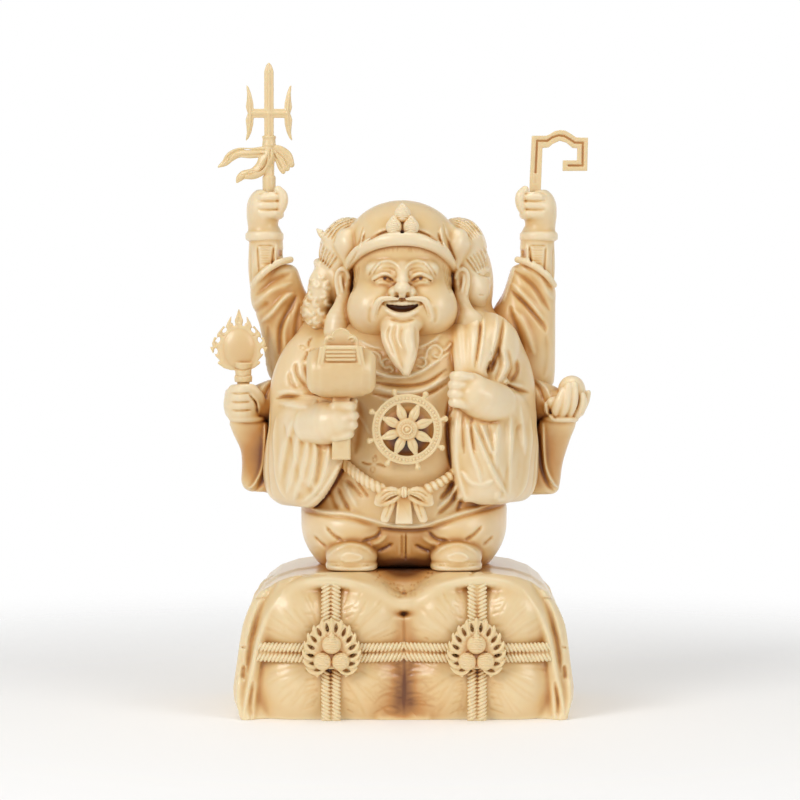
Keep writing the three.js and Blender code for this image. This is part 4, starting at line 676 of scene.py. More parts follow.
def right_hand(clay):
    """The fist round the sack's neck, four fingers to the front."""
    clay.add(roll([(36, -27, 65, 8.2), (31, -33.4, 66.6, 8.4), (27, -36, 69, 7.8)]), 0.5)
    clay.add(egg((26, -37, 71), (5.6, 4.6, 6.6)), 1)
    for finger, height in enumerate((76.2, 72.8, 69.4, 66)):
        reach = (19.6, 19, 18.8, 19.2)[finger]
        clay.add(roll([(25.2, -39.6, height - 0.8, 2.2), (reach + 2, -41.4, height, 2.1),
                       (reach, -40.4, height, 1.9),
                       (reach - 0.2, -37, height, 1.9)]), 0.9)


# %% Clay: lines of the dress
def front_lines(clay):
    left_sleeve = [
        ([(-41.5, 61), (-45, 54), (-48.4, 42), (-48.8, 35)], 1.3, 0.9),
        ([(-40, 60), (-42, 48), (-44.2, 36.4), (-46, 30)], 1.1, 0.9),
        ([(-43.2, 58), (-45, 46), (-46.6, 36)], 1.3, -0.5),
        ([(-37.8, 58.4), (-37.6, 48), (-40, 37.4), (-43, 27.6)], 1.1, 1.1),
        ([(-39.6, 56), (-39.8, 46), (-42, 35)], 1.3, -0.6),
        ([(-36.2, 56), (-34.2, 46.6), (-35.2, 39.4), (-37, 33)], 1, 1.1),
        ([(-36.6, 50), (-37.2, 44), (-38.6, 36)], 1.1, -0.5),
        ([(-32.4, 49), (-32.8, 43), (-33.6, 36.6), (-34.6, 33.4)], 1.5, -1.5),
        ([(-29, 49.4), (-29.8, 42.4), (-32.2, 35), (-35, 30.6), (-38.6, 27.4)], 1, 1.2),
        ([(-35.6, 32.4), (-38.4, 30), (-41, 27.6)], 2, -1.6),
        ([(-23.6, 43.6), (-27.4, 37), (-31.6, 30.6), (-36.4, 25.4), (-41.2, 24.4)], 1, 1.3),
        ([(-22.4, 42), (-26, 35.6), (-30.2, 29), (-35, 23.6)], 0.6, -1),
        # Elbow and shoulder creases
        ([(-50.4, 66.6), (-46.4, 67.4), (-41, 67), (-36.6, 67.2), (-33.2, 68.6)], 0.8, -1.2),
        ([(-49.4, 64.6), (-45, 65), (-40, 64.4), (-36, 64)], 1.1, 0.9),
        ([(-50, 69), (-45, 69.8), (-38, 69.4)], 1.1, 0.7),
        ([(-43, 80.6), (-42, 75.6), (-38, 70.8)], 0.8, -1),
        ([(-39.4, 80), (-38.4, 76), (-36, 71.6)], 0.8, -1),
        ([(-45.4, 77), (-44.6, 73), (-42.6, 70.6)], 0.9, -0.7),
        # Cuff round the wrist
        ([(-33, 68.4), (-34.2, 62), (-34.6, 56.4), (-33.6, 49.6), (-30, 47.6)], 0.5, -1),
        ([(-34.6, 67), (-35.6, 62), (-36, 56), (-35, 50)], 0.7, 0.6),
    ]
    draw(clay, left_sleeve, limits=(-50, 0))
    right_sleeve = [
        ([(26.4, 58), (31, 47), (35.8, 36.8), (40.4, 28.8)], 0.8, 1.5),
        ([(28.2, 58), (32.6, 47.6), (36.6, 39.4), (39.6, 32.6)], 1.2, -0.8),
        ([(30, 57.6), (32.4, 50.6), (34.8, 45)], 0.7, 1),
        ([(32.6, 57.4), (34.4, 50), (35, 46)], 1.1, -0.9),
        ([(24.6, 58), (26.2, 46.4), (28.6, 39.4), (30, 34)], 0.8, 0.9),
        ([(25.4, 56), (27.6, 46), (30.6, 38)], 1, -0.4),
        ([(37, 57.4), (35.4, 46), (36.2, 40)], 1.1, 1.1),
        ([(41.6, 61), (41.8, 46), (41.4, 31)], 0.9, 0.9),
        ([(39.4, 58), (39, 46), (39.4, 34)], 1.5, -0.5),
        ([(45.6, 64.4), (47, 54), (47.4, 45)], 0.9, 0.7),
        ([(43.6, 60), (44.6, 48), (44.2, 36)], 1.5, -0.5),
        ([(21.6, 39.6), (26, 34.8), (31, 34), (35, 35.8)], 0.9, 0.8),
        ([(20.4, 60), (20, 48), (20.6, 40), (24, 26.8)], 1, 0.9),
        ([(36.8, 31), (36.4, 28.4), (38, 27.6)], 1.2, 0.9),
        # Cuff, elbow and armpit
        ([(33.6, 74), (36.4, 70), (37, 65), (36.4, 59.6), (33, 57.6)], 0.5, -1),
        ([(35.2, 74), (38, 70), (38.6, 65), (38, 60)], 0.7, 0.7),
        ([(36.4, 73.4), (41, 71), (46, 69.8), (49.6, 69)], 0.8, -1.1),
        ([(38, 75), (42, 73), (47, 71.6)], 1, 0.8),
        ([(37, 86.8), (37.6, 80), (35.8, 74.4)], 0.8, -0.9),
        ([(41, 86), (41.8, 79), (38.6, 73.6)], 0.9, -1),
        ([(44.6, 82), (44.6, 77), (42, 73)], 0.9, -0.9),
        ([(33.4, 82), (32.2, 77.6)], 0.8, -0.9),
        ([(39.2, 86), (39.8, 79.4), (37, 74)], 0.7, 0.8),
    ]
    draw(clay, right_sleeve, limits=(-50, 4))
    sack_lines = [([(20.6 + 1.7 * k, 94), (20.8 + 1.6 * k, 87), (21.6 + 1.3 * k, 80)], 0.45, -0.3)
                  for k in range(4)]
    sack_lines += [
        ([(30.4, 99), (29.4, 90), (27.6, 79)], 0.55, -1), ([(31.8, 99), (30.8, 90), (29, 79)], 0.6, 0.6),
        ([(39.4, 98), (37.4, 88), (34, 77.4)], 1, -1.5), ([(37, 100), (35.8, 90), (32.6, 79)], 0.6, 0.7),
        ([(34.6, 86), (33.4, 81), (32.4, 76.6)], 0.5, -1),
        ([(23, 62), (22.8, 54), (23.2, 46)], 0.6, -0.9),
        ([(26.4, 61), (26.2, 54), (27.2, 46)], 0.6, -0.8),
    ]
    draw(clay, sack_lines, limits=(-50, 0))
    chest = [
        # Collar: its outer roll and its neck line
        ([(-17, 83), (-10.3, 77), (-1, 75.6), (5.6, 77.4), (11.6, 80.8), (17.6, 85)], 0.8, 1.5),
        ([(-17.6, 90), (-12.6, 87.4), (-8, 86.6)], 0.5, 0.9),
        ([(4.4, 86.6), (10.2, 89), (14.6, 92.2)], 0.5, 0.9),
        # Folds of the shirt on the chest
        ([(-13, 73.6), (-1, 72.2), (8.6, 73.4), (16.8, 78.4)], 0.7, -1.2),
        ([(-13, 71.2), (-1, 69.8), (9, 71.2), (17.6, 76)], 0.8, 0.9),
        ([(-12.4, 69), (-2, 67.4), (9, 69), (17.6, 73.4)], 0.8, -1),
        ([(-10, 67.6), (-2, 66), (7, 67.4)], 0.7, 0.5),
        ([(19.4, 63), (17, 59), (14.8, 56)], 0.4, 0.6),
        ([(-18.6, 62), (-15.4, 57.4), (-13.4, 53.6)], 0.4, 0.6),
        # Hollows between the belly and the arms
        ([(-17.6, 66), (-17, 60), (-17.8, 52), (-19, 46)], 1.6, -1),
        ([(17.4, 66), (16.6, 58), (17.2, 48), (18.4, 40)], 0.7, -1.2),
    ]
    # Scrolls of the collar: each a thin raised line in a shallow moat
    scrolls = [[(-18, 84.6), (-12.4, 85.4), (-9.6, 84), (-9.2, 81.4), (-8, 79)],
               [(-4.4, 81.4), (-6.2, 82.8), (-8.4, 81.6), (-7.4, 79.2), (-5.2, 79.6), (-4.4, 78),
                (-6.4, 77.2)],
               [(4.2, 80.8), (6.6, 79.4), (8.6, 81), (7.2, 83.2), (4.8, 82.4)],
               [(8.4, 82), (9.2, 86), (12.2, 88), (15, 86), (13.6, 83.2), (11.2, 84.2), (12.6, 85.8)],
               [(15.2, 85.6), (17, 86.8), (18.6, 89)]]
    for path in scrolls:
        chest += [(path, 1.15, -0.9), (path, 0.5, 1.6)]
    draw(clay, chest, limits=(-50, -10))
    skirt = [
        # Hem of the coat, thin over the trousers
        ([(-40.5, 24), (-30, 22.6), (-21.6, 22), (-11, 19.2), (-2.8, 17.4), (6, 17.4), (15, 19.8), (24, 22.8),
          (40.6, 26.4)],
         0.7, 0.9),
        ([(-40.5, 22), (-30, 20.8), (-21.6, 20.2), (-11, 17.4), (-2.8, 15.6), (6, 15.6), (15, 18), (24, 21),
          (40.6, 24.6)],
         1, -0.8),
        # Folds from the belt
        ([(-22.6, 35.4), (-19, 32), (-15.8, 28.4)], 0.9, -1),
        ([(-26, 32.4), (-24, 28), (-21.4, 23.4)], 0.9, -1.2),
        ([(-18.6, 35), (-16, 31.6), (-13.6, 28.4)], 0.7, -1),
        ([(-24, 34.6), (-21.4, 30), (-18.6, 25)], 0.9, 0.8),
        ([(-29.4, 31), (-27.4, 26), (-26, 23.4)], 1, -0.8),
        ([(19.6, 35), (16.8, 31), (14, 28)], 0.9, -1.3), ([(21, 32.6), (18.8, 27), (12.8, 21.6)], 0.9, -1.2),
        ([(22.8, 29), (21.8, 25.6), (20.8, 23)], 0.9, -1),
        ([(20.4, 33.6), (17.6, 28.6), (13, 24.4)], 0.8, 0.8),
        # Creases of the trousers, and their seam
        ([(-30.6, 17), (-27.4, 13.6), (-24, 11.8)], 0.7, -1.1),
        ([(-35.2, 12.8), (-32.8, 10.4), (-30.4, 8.8)], 0.7, -1),
        ([(-8.6, 16), (-11, 13), (-16.4, 11.4)], 0.8, -1.1),
        ([(-4.4, 10.2), (-7.4, 8.4), (-10.4, 7.2)], 0.7, -1.1),
        ([(9.2, 15.4), (12.6, 12.4), (17, 11.6)], 0.8, -1.2), ([(4.4, 9.6), (8, 7.8), (10.4, 7)], 0.7, -1.1),
        ([(24, 12), (27.4, 14), (30.6, 17.2)], 0.7, -1.1), ([(31, 9.6), (33, 11), (34.8, 12.8)], 0.7, -1),
        ([(-6.8, 13.6), (-9.4, 11), (-13, 9.6)], 0.8, 0.6), ([(7.4, 13), (10, 10.8), (13.6, 9.6)], 0.8, 0.6),
        ([(-0.7, 15), (-0.7, 4)], 0.35, -0.9), ([(0.7, 15), (0.7, 4)], 0.35, -0.9),
        # Shoes: welt, toe panel
        ([(-30.4, 2.6), (-20.6, 1.9), (-10.6, 2.6)], 0.4, -0.9),
        ([(10.8, 2.6), (20.6, 1.9), (30.4, 2.6)], 0.4, -0.9),
        ([(-25, 5.4), (-21.6, 7.4), (-16.2, 5.8), (-18.4, 4.4), (-23.6, 4.2), (-25, 5.4)], 0.35, 0.5),
        ([(16.2, 5.8), (21.6, 7.4), (25, 5.4), (23.6, 4.2), (18.4, 4.4), (16.2, 5.8)], 0.35, 0.5),
        ([(-29.2, 6), (-26, 9), (-21, 10.6), (-15, 9.2), (-11.8, 6)], 0.5, 0.5),
        ([(11.8, 6), (15, 9.2), (21, 10.6), (26, 9), (29.2, 6)], 0.5, 0.5),
    ]
    draw(clay, skirt, limits=(-50, 0))


def twisted_cord(clay, path, thick=1.2, pitch=4.8):
    """Two strands laid round each other along a path."""
    line = through(path, 0.45)
    steps = np.r_[0, np.cumsum(np.linalg.norm(np.diff(line, axis=0), axis=1))]
    for strand in (0, math.pi):
        turn = 2 * math.pi * steps / pitch + strand
        clay.add(roll(np.c_[line[:, 0] + 0.3 * np.cos(turn), line[:, 1] - 1.1 * np.sin(turn),
                            line[:, 2] + 1.1 * np.cos(turn), np.full(len(line), thick)].tolist(),
                      spacing=0.6), 0.1)


def make_belt():
    """The twisted cord under the belly and the bow in front of it."""
    clay = Clay((-28, -42, 14), (26, -24, 47), 0.34)
    twisted_cord(clay,
                 [(-25, -29, 43.4), (-21.4, -32, 40.2), (-17, -35, 36.8), (-13, -36.6, 34.2),
                  (-8.6, -37, 32.2)])
    twisted_cord(clay,
                 [(8.6, -37, 32.2), (12.4, -36.4, 33.8), (16, -35.2, 36), (19.6, -33.4, 38.6),
                  (22.4, -31, 41)])
    for side in (-1, 1):
        loop = on_side(side,
                       [(1.8, -37.4, 31.2, 1), (5, -37.8, 31.4, 2), (8.4, -36.8, 29.8, 2.4),
                        (10.2, -35.8, 27, 1.5)])
        under = on_side(side, [(1.8, -36.8, 29.4, 0.8), (5.4, -36.4, 27, 1.1), (9, -35.6, 26.2, 1)])
        tail = on_side(side, [(4, -36, 28, 1.2), (6, -35.4, 24.4, 1.9), (7.4, -34.4, 20.6, 1.8)])
        clay.add(roll(loop, 0.7, (0, 1, 0)), 0.4)
        clay.add(roll(under), 0.5)
        clay.add(roll(tail, 0.6, (0, 1, 0)), 0.4)
    clay.add(slab([(-3.4, 18.6), (3.4, 18.6), (2.6, 29.6), (-2.6, 29.6)], 2.6, (0, -35.6, 0), 0.7), 0.5)
    clay.add(egg((0, -37.6, 31.1), (2.5, 1.9, 2.2)), 0.3)
    lines = [([(x, 33), (x * 1.1, 31), (x, 29.2)], 0.25, -0.6) for x in (-1.2, 0, 1.2)]
    for side in (-1, 1):
        lines += [(on_side(side, [(2.8, 31.4), (6.4, 31.2), (9.4, 29)]), 0.28, -0.6),
                  (on_side(side, [(2.8, 30.6), (6, 29.8), (8.6, 27.6)]), 0.28, -0.5),
                  (on_side(side, [(5, 27), (6.2, 23.6), (7.2, 20.6)]), 0.28, -0.5)]
    draw(clay, lines, limits=(-50, -20))
    return clay


def flower(x, z, size, lean):
    """A four-petalled flower: two long petals are single cuts, two short ones are leaf outlines."""
    strokes = []
    for petal in range(4):
        angle = math.radians(lean + 90 * petal)
        ax, az = math.cos(angle), math.sin(angle)
        if petal % 2:
            strokes.append(([(x + ax * 0.6, z + az * 0.6),
                             (x + ax * size * 0.5 - az * 0.5, z + az * size * 0.5 + ax * 0.5),
                             (x + ax * size, z + az * size)], 0.42, -0.9))
            continue
        for bend in (-0.8, 0.8):
            strokes.append(([(x + ax * 0.5, z + az * 0.5),
                             (x + ax * size * 0.42 - az * bend, z + az * size * 0.42 + ax * bend),
                             (x + ax * size * 0.8, z + az * size * 0.8)], 0.28, -0.55))
    return strokes


def back_lines(clay):
    """Plain folds on the sides and the back, which the photograph doesn't show."""
    back = [([(x, 100 - abs(x) * 0.3), (x * 1.15, 70), (x * 1.3, 40)], 2.2, rise)
            for x, rise in ((-22, -1), (-10, 0.8), (2, -0.9), (14, 0.8), (26, -0.9))]
    back += [([(x, 40), (x * 1.1, 30), (x * 1.2, 17)], 1.6, rise)
             for x,
             rise in ((-28, -1), (-20, 0.8), (-12, -1), (-4, 0.8), (4, -1), (12, 0.8), (20, -1), (28, 0.8))]
    back += [([(-40, 17), (0, 15.5), (40, 17)], 0.8, 0.9), ([(-40, 15), (0, 13.5), (40, 15)], 1, -1.2),
             ([(-0.6, 13), (-0.6, 0)], 0.7, -1.6)]
    draw(clay, back, side="back", limits=(0, 60))
    sides = [([(y, 62 - abs(y + 8) * 0.3), (y * 1.1 - 2, 45), (y * 1.2 - 3, 28)], 1.6, rise)
             for y, rise in ((-26, -0.8), (-18, 0.8), (-10, -1), (-2, 0.8))]
    sides += [([(y, 34), (y, 24), (y * 1.05, 20)], 1.5, rise) for y,
              rise in ((6, -0.8), (14, 0.8), (22, -0.8))]
    draw(clay, sides, side="left", limits=(-60, -20))
    draw(clay, sides, side="right", limits=(20, 60))


def make_body():
    clay = Clay((-56.5, -50, -1), (56, 49, 131), 0.55)
    trunk_and_legs(clay)
    sack(clay)
    front_arms(clay)
    front_lines(clay)
    draw(clay, flower(-11.8, 41.7, 5, 78) + flower(-38.2, 86.1, 5, -20), limits=(-50, 0))
    left_hand(clay)
    right_hand(clay)
    back_lines(clay)
    return clay

# %% [markdown]
# ## Arms that are cast apart
# The two raised arms and the two lowered ones are castings of their own, glued on behind the shoulders.
# Their fists are bored on top, and the trident, the key and the flaming jewel stand in those holes. The
# sleeves fall back from the forearms in long folds.

# %% Clay: spindles
def spindle(profile, middle, axis=2, rounding=0.4):
    """A turned form about an axis: profile gives [place along the axis, radius]."""
    profile = np.array(profile, np.float32)
    middle = np.array(middle, np.float32)
    across = [k for k in range(3) if k != axis]
    low, high = middle - profile[:, 1].max(), middle + profile[:, 1].max()
    low[axis], high[axis] = middle[axis] + profile[0, 0], middle[axis] + profile[-1, 0]

    def distance(x, y, z):
        own = [value - middle[k] for k, value in enumerate((x, y, z))]
        away = np.sqrt(own[across[0]] ** 2 + own[across[1]] ** 2)
        radius = np.interp(own[axis].ravel(), profile[:, 0], profile[:, 1]).reshape(own[axis].shape)
        side = (away - radius + rounding).astype(np.float32)
        cap = np.maximum(own[axis] - profile[-1, 0],
                         profile[0, 0] - own[axis]) + rounding + np.zeros_like(side)
        return rounded_edge(side, cap, rounding)

    return low, high, distance


# %% Clay: raised arms
def raised_arm(side):
    """The arm to one side (-1 left, 1 right) that holds its thing up high."""
    s = side
    wrist = 55.6 if s < 0 else 53.7
    low, high = ((-65, 0, 67.5), (-24, 25, 153)) if s < 0 else ((26.5, 0, 67.5), (64, 25, 153))
    clay = Clay(low, high, 0.45)
    # Sleeve: shoulder, then the wide part that hangs from the wrist
    clay.add(roll([(s * 33, 15, 84, 9.4), (s * 40, 14, 92, 9.4), (s * 46, 12.6, 100, 9)]), 3)
    left = [(72, -46, 12, 7.4, 6, 6), (78, -46.6, 12, 8.8, 7.4, 7), (88, -46.2, 12, 10.6, 8.4, 8),
            (97, -47.4, 12, 11.4, 8.8, 8.6), (104, -49.5, 12, 12, 8.8, 8.6), (110, -51, 12, 10.8, 8.6, 8.4),
            (115, -50.6, 12, 8.6, 8, 8), (120, -48.8, 12, 5.2, 7, 7)]
    right = [(70, 53.4, 12, 7, 6, 6), (78, 50.8, 12, 10.2, 7.4, 7), (88, 49.8, 12, 11.3, 8.4, 8),
             (97, 49.4, 12, 11.7, 8.8, 8.6), (104, 49.9, 12, 11.2, 8.8, 8.6), (110, 50.8, 12, 10.2, 8.6, 8.4),
             (115, 50, 12, 7.8, 8, 8), (120, 48.4, 12, 4.8, 7, 7)]
    clay.add(drum(left if s < 0 else right, rounding=3), 3)
    # Forearm with its guard, bracelet and fist
    clay.add(roll([(s * (wrist - 0.6), 11, 106, 6.4), (s * (wrist + 0.2), 10.6, 117, 6.9),
                   (s * wrist, 10.2, 125, 7),
                   (s * wrist, 10, 131, 6.6)]), 0.4)
    cuff = [(s * 60.4, 7, 111.6, 1.2), (s * 58, 3.4, 114.8, 1.3), (s * 54.4, 2.6, 118, 1.4),
            (s * 50, 3.4, 120.6, 1.4),
            (s * 45.6, 7, 121.8, 1.3)]
    clay.add(roll(cuff), 1.4)
    clay.add(spindle([(-2, 6.8), (-1.2, 7.7), (1, 7.7), (2, 6.8)], (s * (wrist + 0.6), 10, 131.2),
                     rounding=0.8), 0.4)
    clay.add(roll([(s * (wrist + 1.4), 10, 133, 5.7), (s * (wrist + 1.3), 10.2, 138, 6.2)]), 1)
    clay.add(egg((s * (wrist + 1), 10.6, 142.2), (6.8, 7.5, 8.4)), 1.6)
    for height in (147, 143.6, 140.2):
        clay.add(roll([(s * (wrist + 0.6), 4.6, height, 1.7), (s * (wrist - 3.6), 4.4, height, 1.9),
                       (s * (wrist - 5.6), 7.4, height - 0.4, 1.8)]), 1.5)
    clay.add(roll([(s * (wrist - 4.6), 6.4, 140, 2), (s * (wrist - 6.8), 5, 143.8, 2.1),
                   (s * (wrist - 7), 4.6, 147.4, 2),
                   (s * (wrist - 5.2), 4.8, 149.8, 1.6)]), 0.5)
    out = lambda points: on_side(s, points)
    lines = [(out([(wrist + 3, h), (wrist - 1.6, h - 0.3), (wrist - 6, h)]), 0.5, -0.5)
             for h in (148.2, 145.3, 141.9)]
    lines += [
        # Guard: a panel of fine lines, and a leaf-shaped opening beside it
        (out([(wrist - 3.4, 127.2), (wrist - 2.6, 119.4)]), 0.4, -0.9),
        (out([(wrist + 3.2, 127.2), (wrist + 2.6, 117)]), 0.4, -0.9),
        (out([(wrist - 3.2, 127.4), (wrist + 3.2, 127.4)]), 0.35, -0.7),
        (out([(wrist - 4.6, 128), (wrist - 4, 121)]), 0.4, 0.6),
        (out([(wrist - 5.8, 125.6), (wrist - 5.6, 123.4)]), 0.8, -1.8),
        (out([(wrist + 6, 128), (wrist + 5.9, 112)]), 0.3, -0.5),
    ]
    if s < 0:
        lines += [
            ([(-44.6, 108.3), (-48.3, 105.9), (-53.2, 100.3), (-57, 97)], 1.2, 1.5),
            ([(-43.4, 107), (-47.1, 99.7), (-49.5, 93.5), (-50.2, 84)], 1.5, -1.5),
            ([(-45.8, 100.3), (-48.3, 92.9), (-47.7, 85)], 1, 0.8),
            ([(-59.4, 107.6), (-53, 113), (-45.6, 116.4)], 1.3, -0.8),
            ([(-60, 104), (-53, 109.4), (-45, 112.6)], 1.2, 0.7),
            ([(-60.6, 100.4), (-54.4, 104.6)], 1.2, -0.7), ([(-54.6, 95), (-54.4, 86), (-53, 77)], 1.3, -0.8),
            ([(-41.8, 104), (-43.4, 94), (-43, 84)], 1.2, -0.8),
        ]
    else:
        lines += [
            ([(44.6, 117.1), (52, 111), (58.4, 101.6)], 1.2, -1.1),
            ([(43.4, 112.2), (49.5, 105.4), (56, 97.4)], 1.1, 1),
            ([(43.3, 109), (49.4, 103.4), (55.6, 96), (57, 93)], 1.2, -1.2),
            ([(43.9, 101.5), (48.2, 95.4), (52.5, 84)], 1.4, 1),
            ([(42.4, 103), (45.4, 94), (48, 84)], 1.2, -0.9),
            ([(46, 119.6), (54, 114), (59.6, 106)], 1.2, 0.8),
            ([(57, 91), (57.4, 83), (56.4, 75)], 1.4, -0.6),
            ([(44.4, 119.6), (42, 112), (39.6, 104.6)], 0.6, 1),
            ([(43, 119), (40.4, 111), (38, 104)], 0.8, -0.7),
        ]
    lines += [(out([(wrist - 2.4, 126.4 - 0.8 * k), (wrist + 2.4, 126.4 - 0.8 * k)]), 0.22, -0.45)
              for k in range(9)]
    draw(clay, lines, limits=(-5, 14))
    behind = [(out([(38 + 4 * k, 108 - k), (42 + 3.4 * k, 92), (44 + 2.6 * k, 76)]), 1.4, 0.9 * (-1) ** k)
              for k in range(5)]
    draw(clay, behind, side="back", limits=(8, 30))
    if s < 0:
        clay.cut(spindle([(-7.5, 3.1), (4, 3.1)], (-54.2, 10, 150.6)), 0.3)
        clay.cut(spindle([(-0.3, 5.2), (6, 5.2)], (-54.2, 10, 150.4)), 0.5)
    else:
        clay.cut(slab([(-2.7, -5), (2.7, -5), (2.7, 5), (-2.7, 5)], 4, (52.9, 10, 150.6), 0.2), 0.3)
        clay.cut(spindle([(-0.3, 4.9), (6, 4.9)], (52.9, 10, 150.4)), 0.5)
    return clay


# %% Clay: lowered arms
def lowered_arm(side):
    """The arm to one side that is bent at the hip, with a smooth open sleeve below the wrist."""
    s = side
    low, high = ((-74, -11, 24.5), (-31, 24, 77.5)) if s < 0 else ((34.5, -11.5, 24.5), (76.2, 23, 77.5))
    clay = Clay(low, high, 0.45)
    clay.add(roll([(s * 40, 14, 66, 9.6), (s * 50, 9, 65.4, 8.8), (s * 58, 3, 64, 7.4),
                   (s * 62.4, 0, 61.6, 6.4)]), 2)
    left = [(28.6, -57, 6, 6.6, 6.4, 7), (32.3, -58.2, 6, 7.2, 7.4, 8), (40.3, -57.6, 5.6, 7.6, 8.2, 8.4),
            (45.8, -57.8, 4.6, 8, 8.2, 8.4), (51.3, -59.6, 2.6, 8.6, 7.8, 8), (56.4, -62.2, 0, 7.8, 6.6, 7),
            (58, -62.8, -0.8, 6.9, 6, 6)]
    right = [(27.6, 55.4, 6, 6.4, 6.4, 7), (32.3, 55.6, 6, 7.2, 7.4, 8), (40.3, 56.2, 5.6, 7.7, 8.2, 8.4),
             (49.4, 58.4, 3.6, 8.2, 8, 8.2), (55, 60.8, 1, 7.8, 7, 7.4), (58.6, 62.2, -0.6, 6.8, 6, 6)]
    clay.add(drum(left if s < 0 else right, rounding=2.4), 2)
    clay.add(drum([(28.4, s * 50.6, 9, 6, 5.4, 6), (38, s * 50.6, 10, 7, 6.6, 7),
                   (50, s * 50.4, 10.6, 8, 7, 8),
                   (60, s * 49, 11, 8.6, 8, 8)], rounding=2.4), 3)
    clay.add(spindle([(-1.1, 6.5), (0, 7.2), (1, 6.8)], (s * 62.8, -1.2, 58), rounding=0.6), 0.6)
    out = lambda points: on_side(s, points)
    lines = [
        (out([(55.4, 56.6), (55.8, 46.4), (56.8, 38.4), (59.6, 32.3), (62.6, 29.6)]), 0.6, 1.3),
        (out([(53.6, 57), (54.2, 46.4), (55.2, 38), (57.6, 31.6), (60, 29)]), 1, -1.1),
        # Creases where the sleeve wraps the upper arm
        (out([(50, 74), (54, 70.4), (56, 65)]), 0.8, -0.9),
        (out([(46, 72.6), (50.4, 68.4), (52, 62)]), 0.9, -0.9),
        (out([(53, 74), (57, 70), (58.6, 64)]), 0.7, 0.7),
    ]
    draw(clay, lines, limits=(-12, 14))
    draw(clay,
         [(out([(u, 60), (u + 1, 44), (u + 2, 30)]), 1.4, rise) for u,
          rise in ((48, -0.9), (53, 0.8), (58, -0.9))],
         side="back", limits=(4, 26))
    return clay


def flame_jewel_arm():
    clay = lowered_arm(-1)
    clay.add(egg((-64, -0.4, 63.4), (8, 7, 8.2)), 0.6)
    clay.add(spindle([(-4, 6.4), (2, 7.4), (6.6, 7.2), (8.4, 6)], (-64.4, -0.6, 62.6), rounding=2), 1.4)
    for finger, height in enumerate((70.2, 66.8, 63.4, 60.2)):
        reach = (-60, -59, -59.2, -60.4)[finger]
        clay.add(roll([(-68, -4, height - 0.2, 1.9), (-65, -6.4, height, 2), (-62, -6.4, height, 1.9),
                       (reach, -5, height - 0.2, 1.7)]), 1.9)
    clay.add(roll([(-57.4, -1.6, 62, 2.3), (-57.8, -4, 66.6, 2.2), (-60.4, -5.4, 70, 2),
                   (-62.8, -5.6, 71.8, 1.6)]), 0.5)
    grooves = [([(-68.6, h), (-65, h - 0.2), (-60.6, h + 0.2)], 0.4, -0.7) for h in (68.6, 65.1, 61.8)]
    draw(clay, grooves + [([(-61.9, 68.4), (-59, 64.7), (-58.4, 60.2)], 0.4, -1.2)], limits=(-12, 6))
    clay.cut(spindle([(-7.4, 2.9), (4, 2.9)], (-64.2, -2, 72.8)), 0.3)
    clay.cut(spindle([(-0.3, 5.6), (6, 5.6)], (-64.2, -2, 72.5)), 0.5)
    return clay


def round_jewel_arm():
    """The open hand: four long fingers stand up in front of a round jewel, the thumb behind it."""
    clay = lowered_arm(1)
    clay.add(egg((63, -1.6, 63), (7, 5.6, 6.6)), 1)
    clay.add(egg((67, -2.2, 69.6), (5.5, 5.5, 5.9)), 0.3)
    fingers = [((57.4, -4.4, 62, 1.7), (58.6, -6.4, 65, 1.8), (61.6, -6.6, 66.4, 1.2)),
               ((59.8, -5.6, 59.6, 1.8), (61.4, -8, 64.4, 2), (63.4, -8, 69.4, 1.7)),
               ((62.4, -5.6, 59, 1.8), (64.4, -8.4, 64.6, 2), (65.4, -8.6, 71.4, 1.7)),
               ((65.4, -5, 59.6, 1.8), (67.4, -7.8, 65.4, 1.9), (67.6, -8, 72, 1.5)),
               ((69, -4, 60, 1.8), (71, -5.6, 63.6, 1.9), (71, -6, 67.4, 1.5))]
    for finger in fingers:
        clay.add(roll(finger), 0.35)
    clay.add(roll([(70, -1, 61, 2.2), (72.6, -1.6, 65.4, 1.6), (73.6, -2.4, 68.6, 1.1)]), 0.5)
    draw(clay,
         [([(57, 65), (58.4, 61), (60.6, 58.4)], 0.4, -0.8),
          ([(55.6, 66), (57, 60.6), (60, 57.4)], 0.5, 0.6)],
         limits=(-12, 8))
    return clay


# %% [markdown]
# ## Things in the hands
# The small castings are crisper than the figure: mallet, trident, key, flaming jewel, wheel of the law, the
# jewels on the cap and the crests on the bales. They are flat in the mould, so they start as cut outlines.

